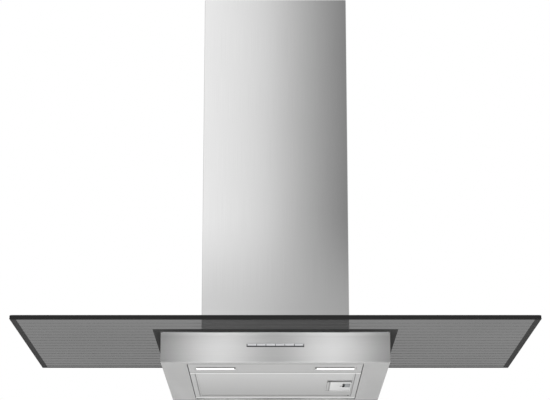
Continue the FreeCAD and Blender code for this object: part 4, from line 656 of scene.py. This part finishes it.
studioLook = {
    "eye": (-0.7, -3425.3, -823.3), "pitch": 14.794, "lens": 116.2, "shift": 0.07,
    "floor": -1550.0, "floorHalfWidth": 12000.0, "floorInMetal": 0.35, "worldLevel": 0.4,
    "lampSize": 1600, "lampPower": 60.0,
}
# where each lamp stands, what it looks at, and its share of the power
studioLamps = {
    "frontLamp": ((0, -3000, -700), (0, -200, -100), 1.0),
    "leftLamp": ((-2800, 600, 900), (0, -200, 0), 0.6),
    "rightLamp": ((2800, 600, 900), (0, -200, 0), 0.6),
    "topLamp": ((0, 1200, 2600), (0, -200, 0), 0.7),
}


def buildCamera():
    look = studioLook
    scene = bpy.context.scene
    camera = bpy.data.objects.new("photoCamera", bpy.data.cameras.new("photoCamera"))
    scene.collection.objects.link(camera)
    camera.location = mm(*look["eye"])
    camera.rotation_euler = (math.radians(90 + look["pitch"]), 0, 0)
    camera.data.lens = look["lens"]
    camera.data.sensor_width = 36.0
    camera.data.shift_y = look["shift"]
    camera.data.clip_end = 100.0
    scene.camera = camera


def buildRoom():
    # a soft white room: full white where it is seen, mirrored or seen through glass, and dimmer as a light
    look = studioLook
    world = bpy.data.worlds.new("softWhiteRoom")
    world.use_nodes = True
    bpy.context.scene.world = world
    tree = world.node_tree
    tree.nodes.clear()
    ray = addNode(tree, "ShaderNodeLightPath")
    seen = addNode(tree, "ShaderNodeMath", {0: ray.outputs["Is Camera Ray"], 1: ray.outputs["Is Glossy Ray"]},
                   operation="MAXIMUM")
    seen = addNode(tree, "ShaderNodeMath", {0: seen.outputs[0], 1: ray.outputs["Is Transmission Ray"]},
                   operation="MAXIMUM")
    level = addNode(tree, "ShaderNodeMapRange", {"Value": seen.outputs[0], "To Min": look["worldLevel"],
                                                 "To Max": 1.0})
    light = addNode(tree, "ShaderNodeBackground", {"Color": (1, 1, 1, 1), "Strength": level.outputs[0]})
    addNode(tree, "ShaderNodeOutputWorld", {"Surface": light.outputs[0]})


def buildLamps():
    for name, (spot, target, share) in studioLamps.items():
        lamp = bpy.data.objects.new(name, bpy.data.lights.new(name, "AREA"))
        bpy.context.scene.collection.objects.link(lamp)
        lamp.data.size = mm(studioLook["lampSize"])
        lamp.data.energy = studioLook["lampPower"] * share
        lamp.location = mm(*spot)
        # no lamp shows as a bright patch in the steel or through the glass
        lamp.visible_glossy = False
        lamp.visible_transmission = False
        lamp.rotation_euler = (mm(*target) - mm(*spot)).to_track_quat("-Z", "Y").to_euler()


def paperFloor():
    # matt white paper, a faint grain in it, that shows a little brighter in the steel than it is lit
    material, tree, shader = newMaterial("whitePaperFloor", {"Roughness": 0.9, "Emission Color": (1, 1, 1, 1)})
    place = addNode(tree, "ShaderNodeTexCoord")
    grain = addNode(tree, "ShaderNodeTexNoise", {"Vector": place.outputs["Object"], "Scale": 40.0})
    tone = addNode(tree, "ShaderNodeValToRGB", {"Fac": grain.outputs["Fac"]}, [(0.3, "EFEFEE"), (0.7, "F2F2F1")])
    tree.links.new(tone.outputs[0], shader.inputs["Base Color"])
    ray = addNode(tree, "ShaderNodeLightPath")
    glow = addNode(tree, "ShaderNodeMapRange", {"Value": ray.outputs["Is Glossy Ray"], "To Min": 0.0,
                                                "To Max": studioLook["floorInMetal"]})
    tree.links.new(glow.outputs[0], shader.inputs["Emission Strength"])
    return material


def buildFloor():
    bm = bmesh.new()
    bmesh.ops.create_grid(bm, x_segments=1, y_segments=1, size=mm(studioLook["floorHalfWidth"]),
                          matrix=Matrix.Translation((0, 0, mm(studioLook["floor"]))))
    mesh = bpy.data.meshes.new("floor")
    bm.to_mesh(mesh)
    bm.free()
    mesh.materials.append(paperFloor())
    floor = bpy.data.objects.new("floor", mesh)
    bpy.context.scene.collection.objects.link(floor)


bpy.context.scene.view_settings.view_transform = "Standard"
buildCamera()
buildRoom()
buildLamps()
buildFloor()
print("studio built")
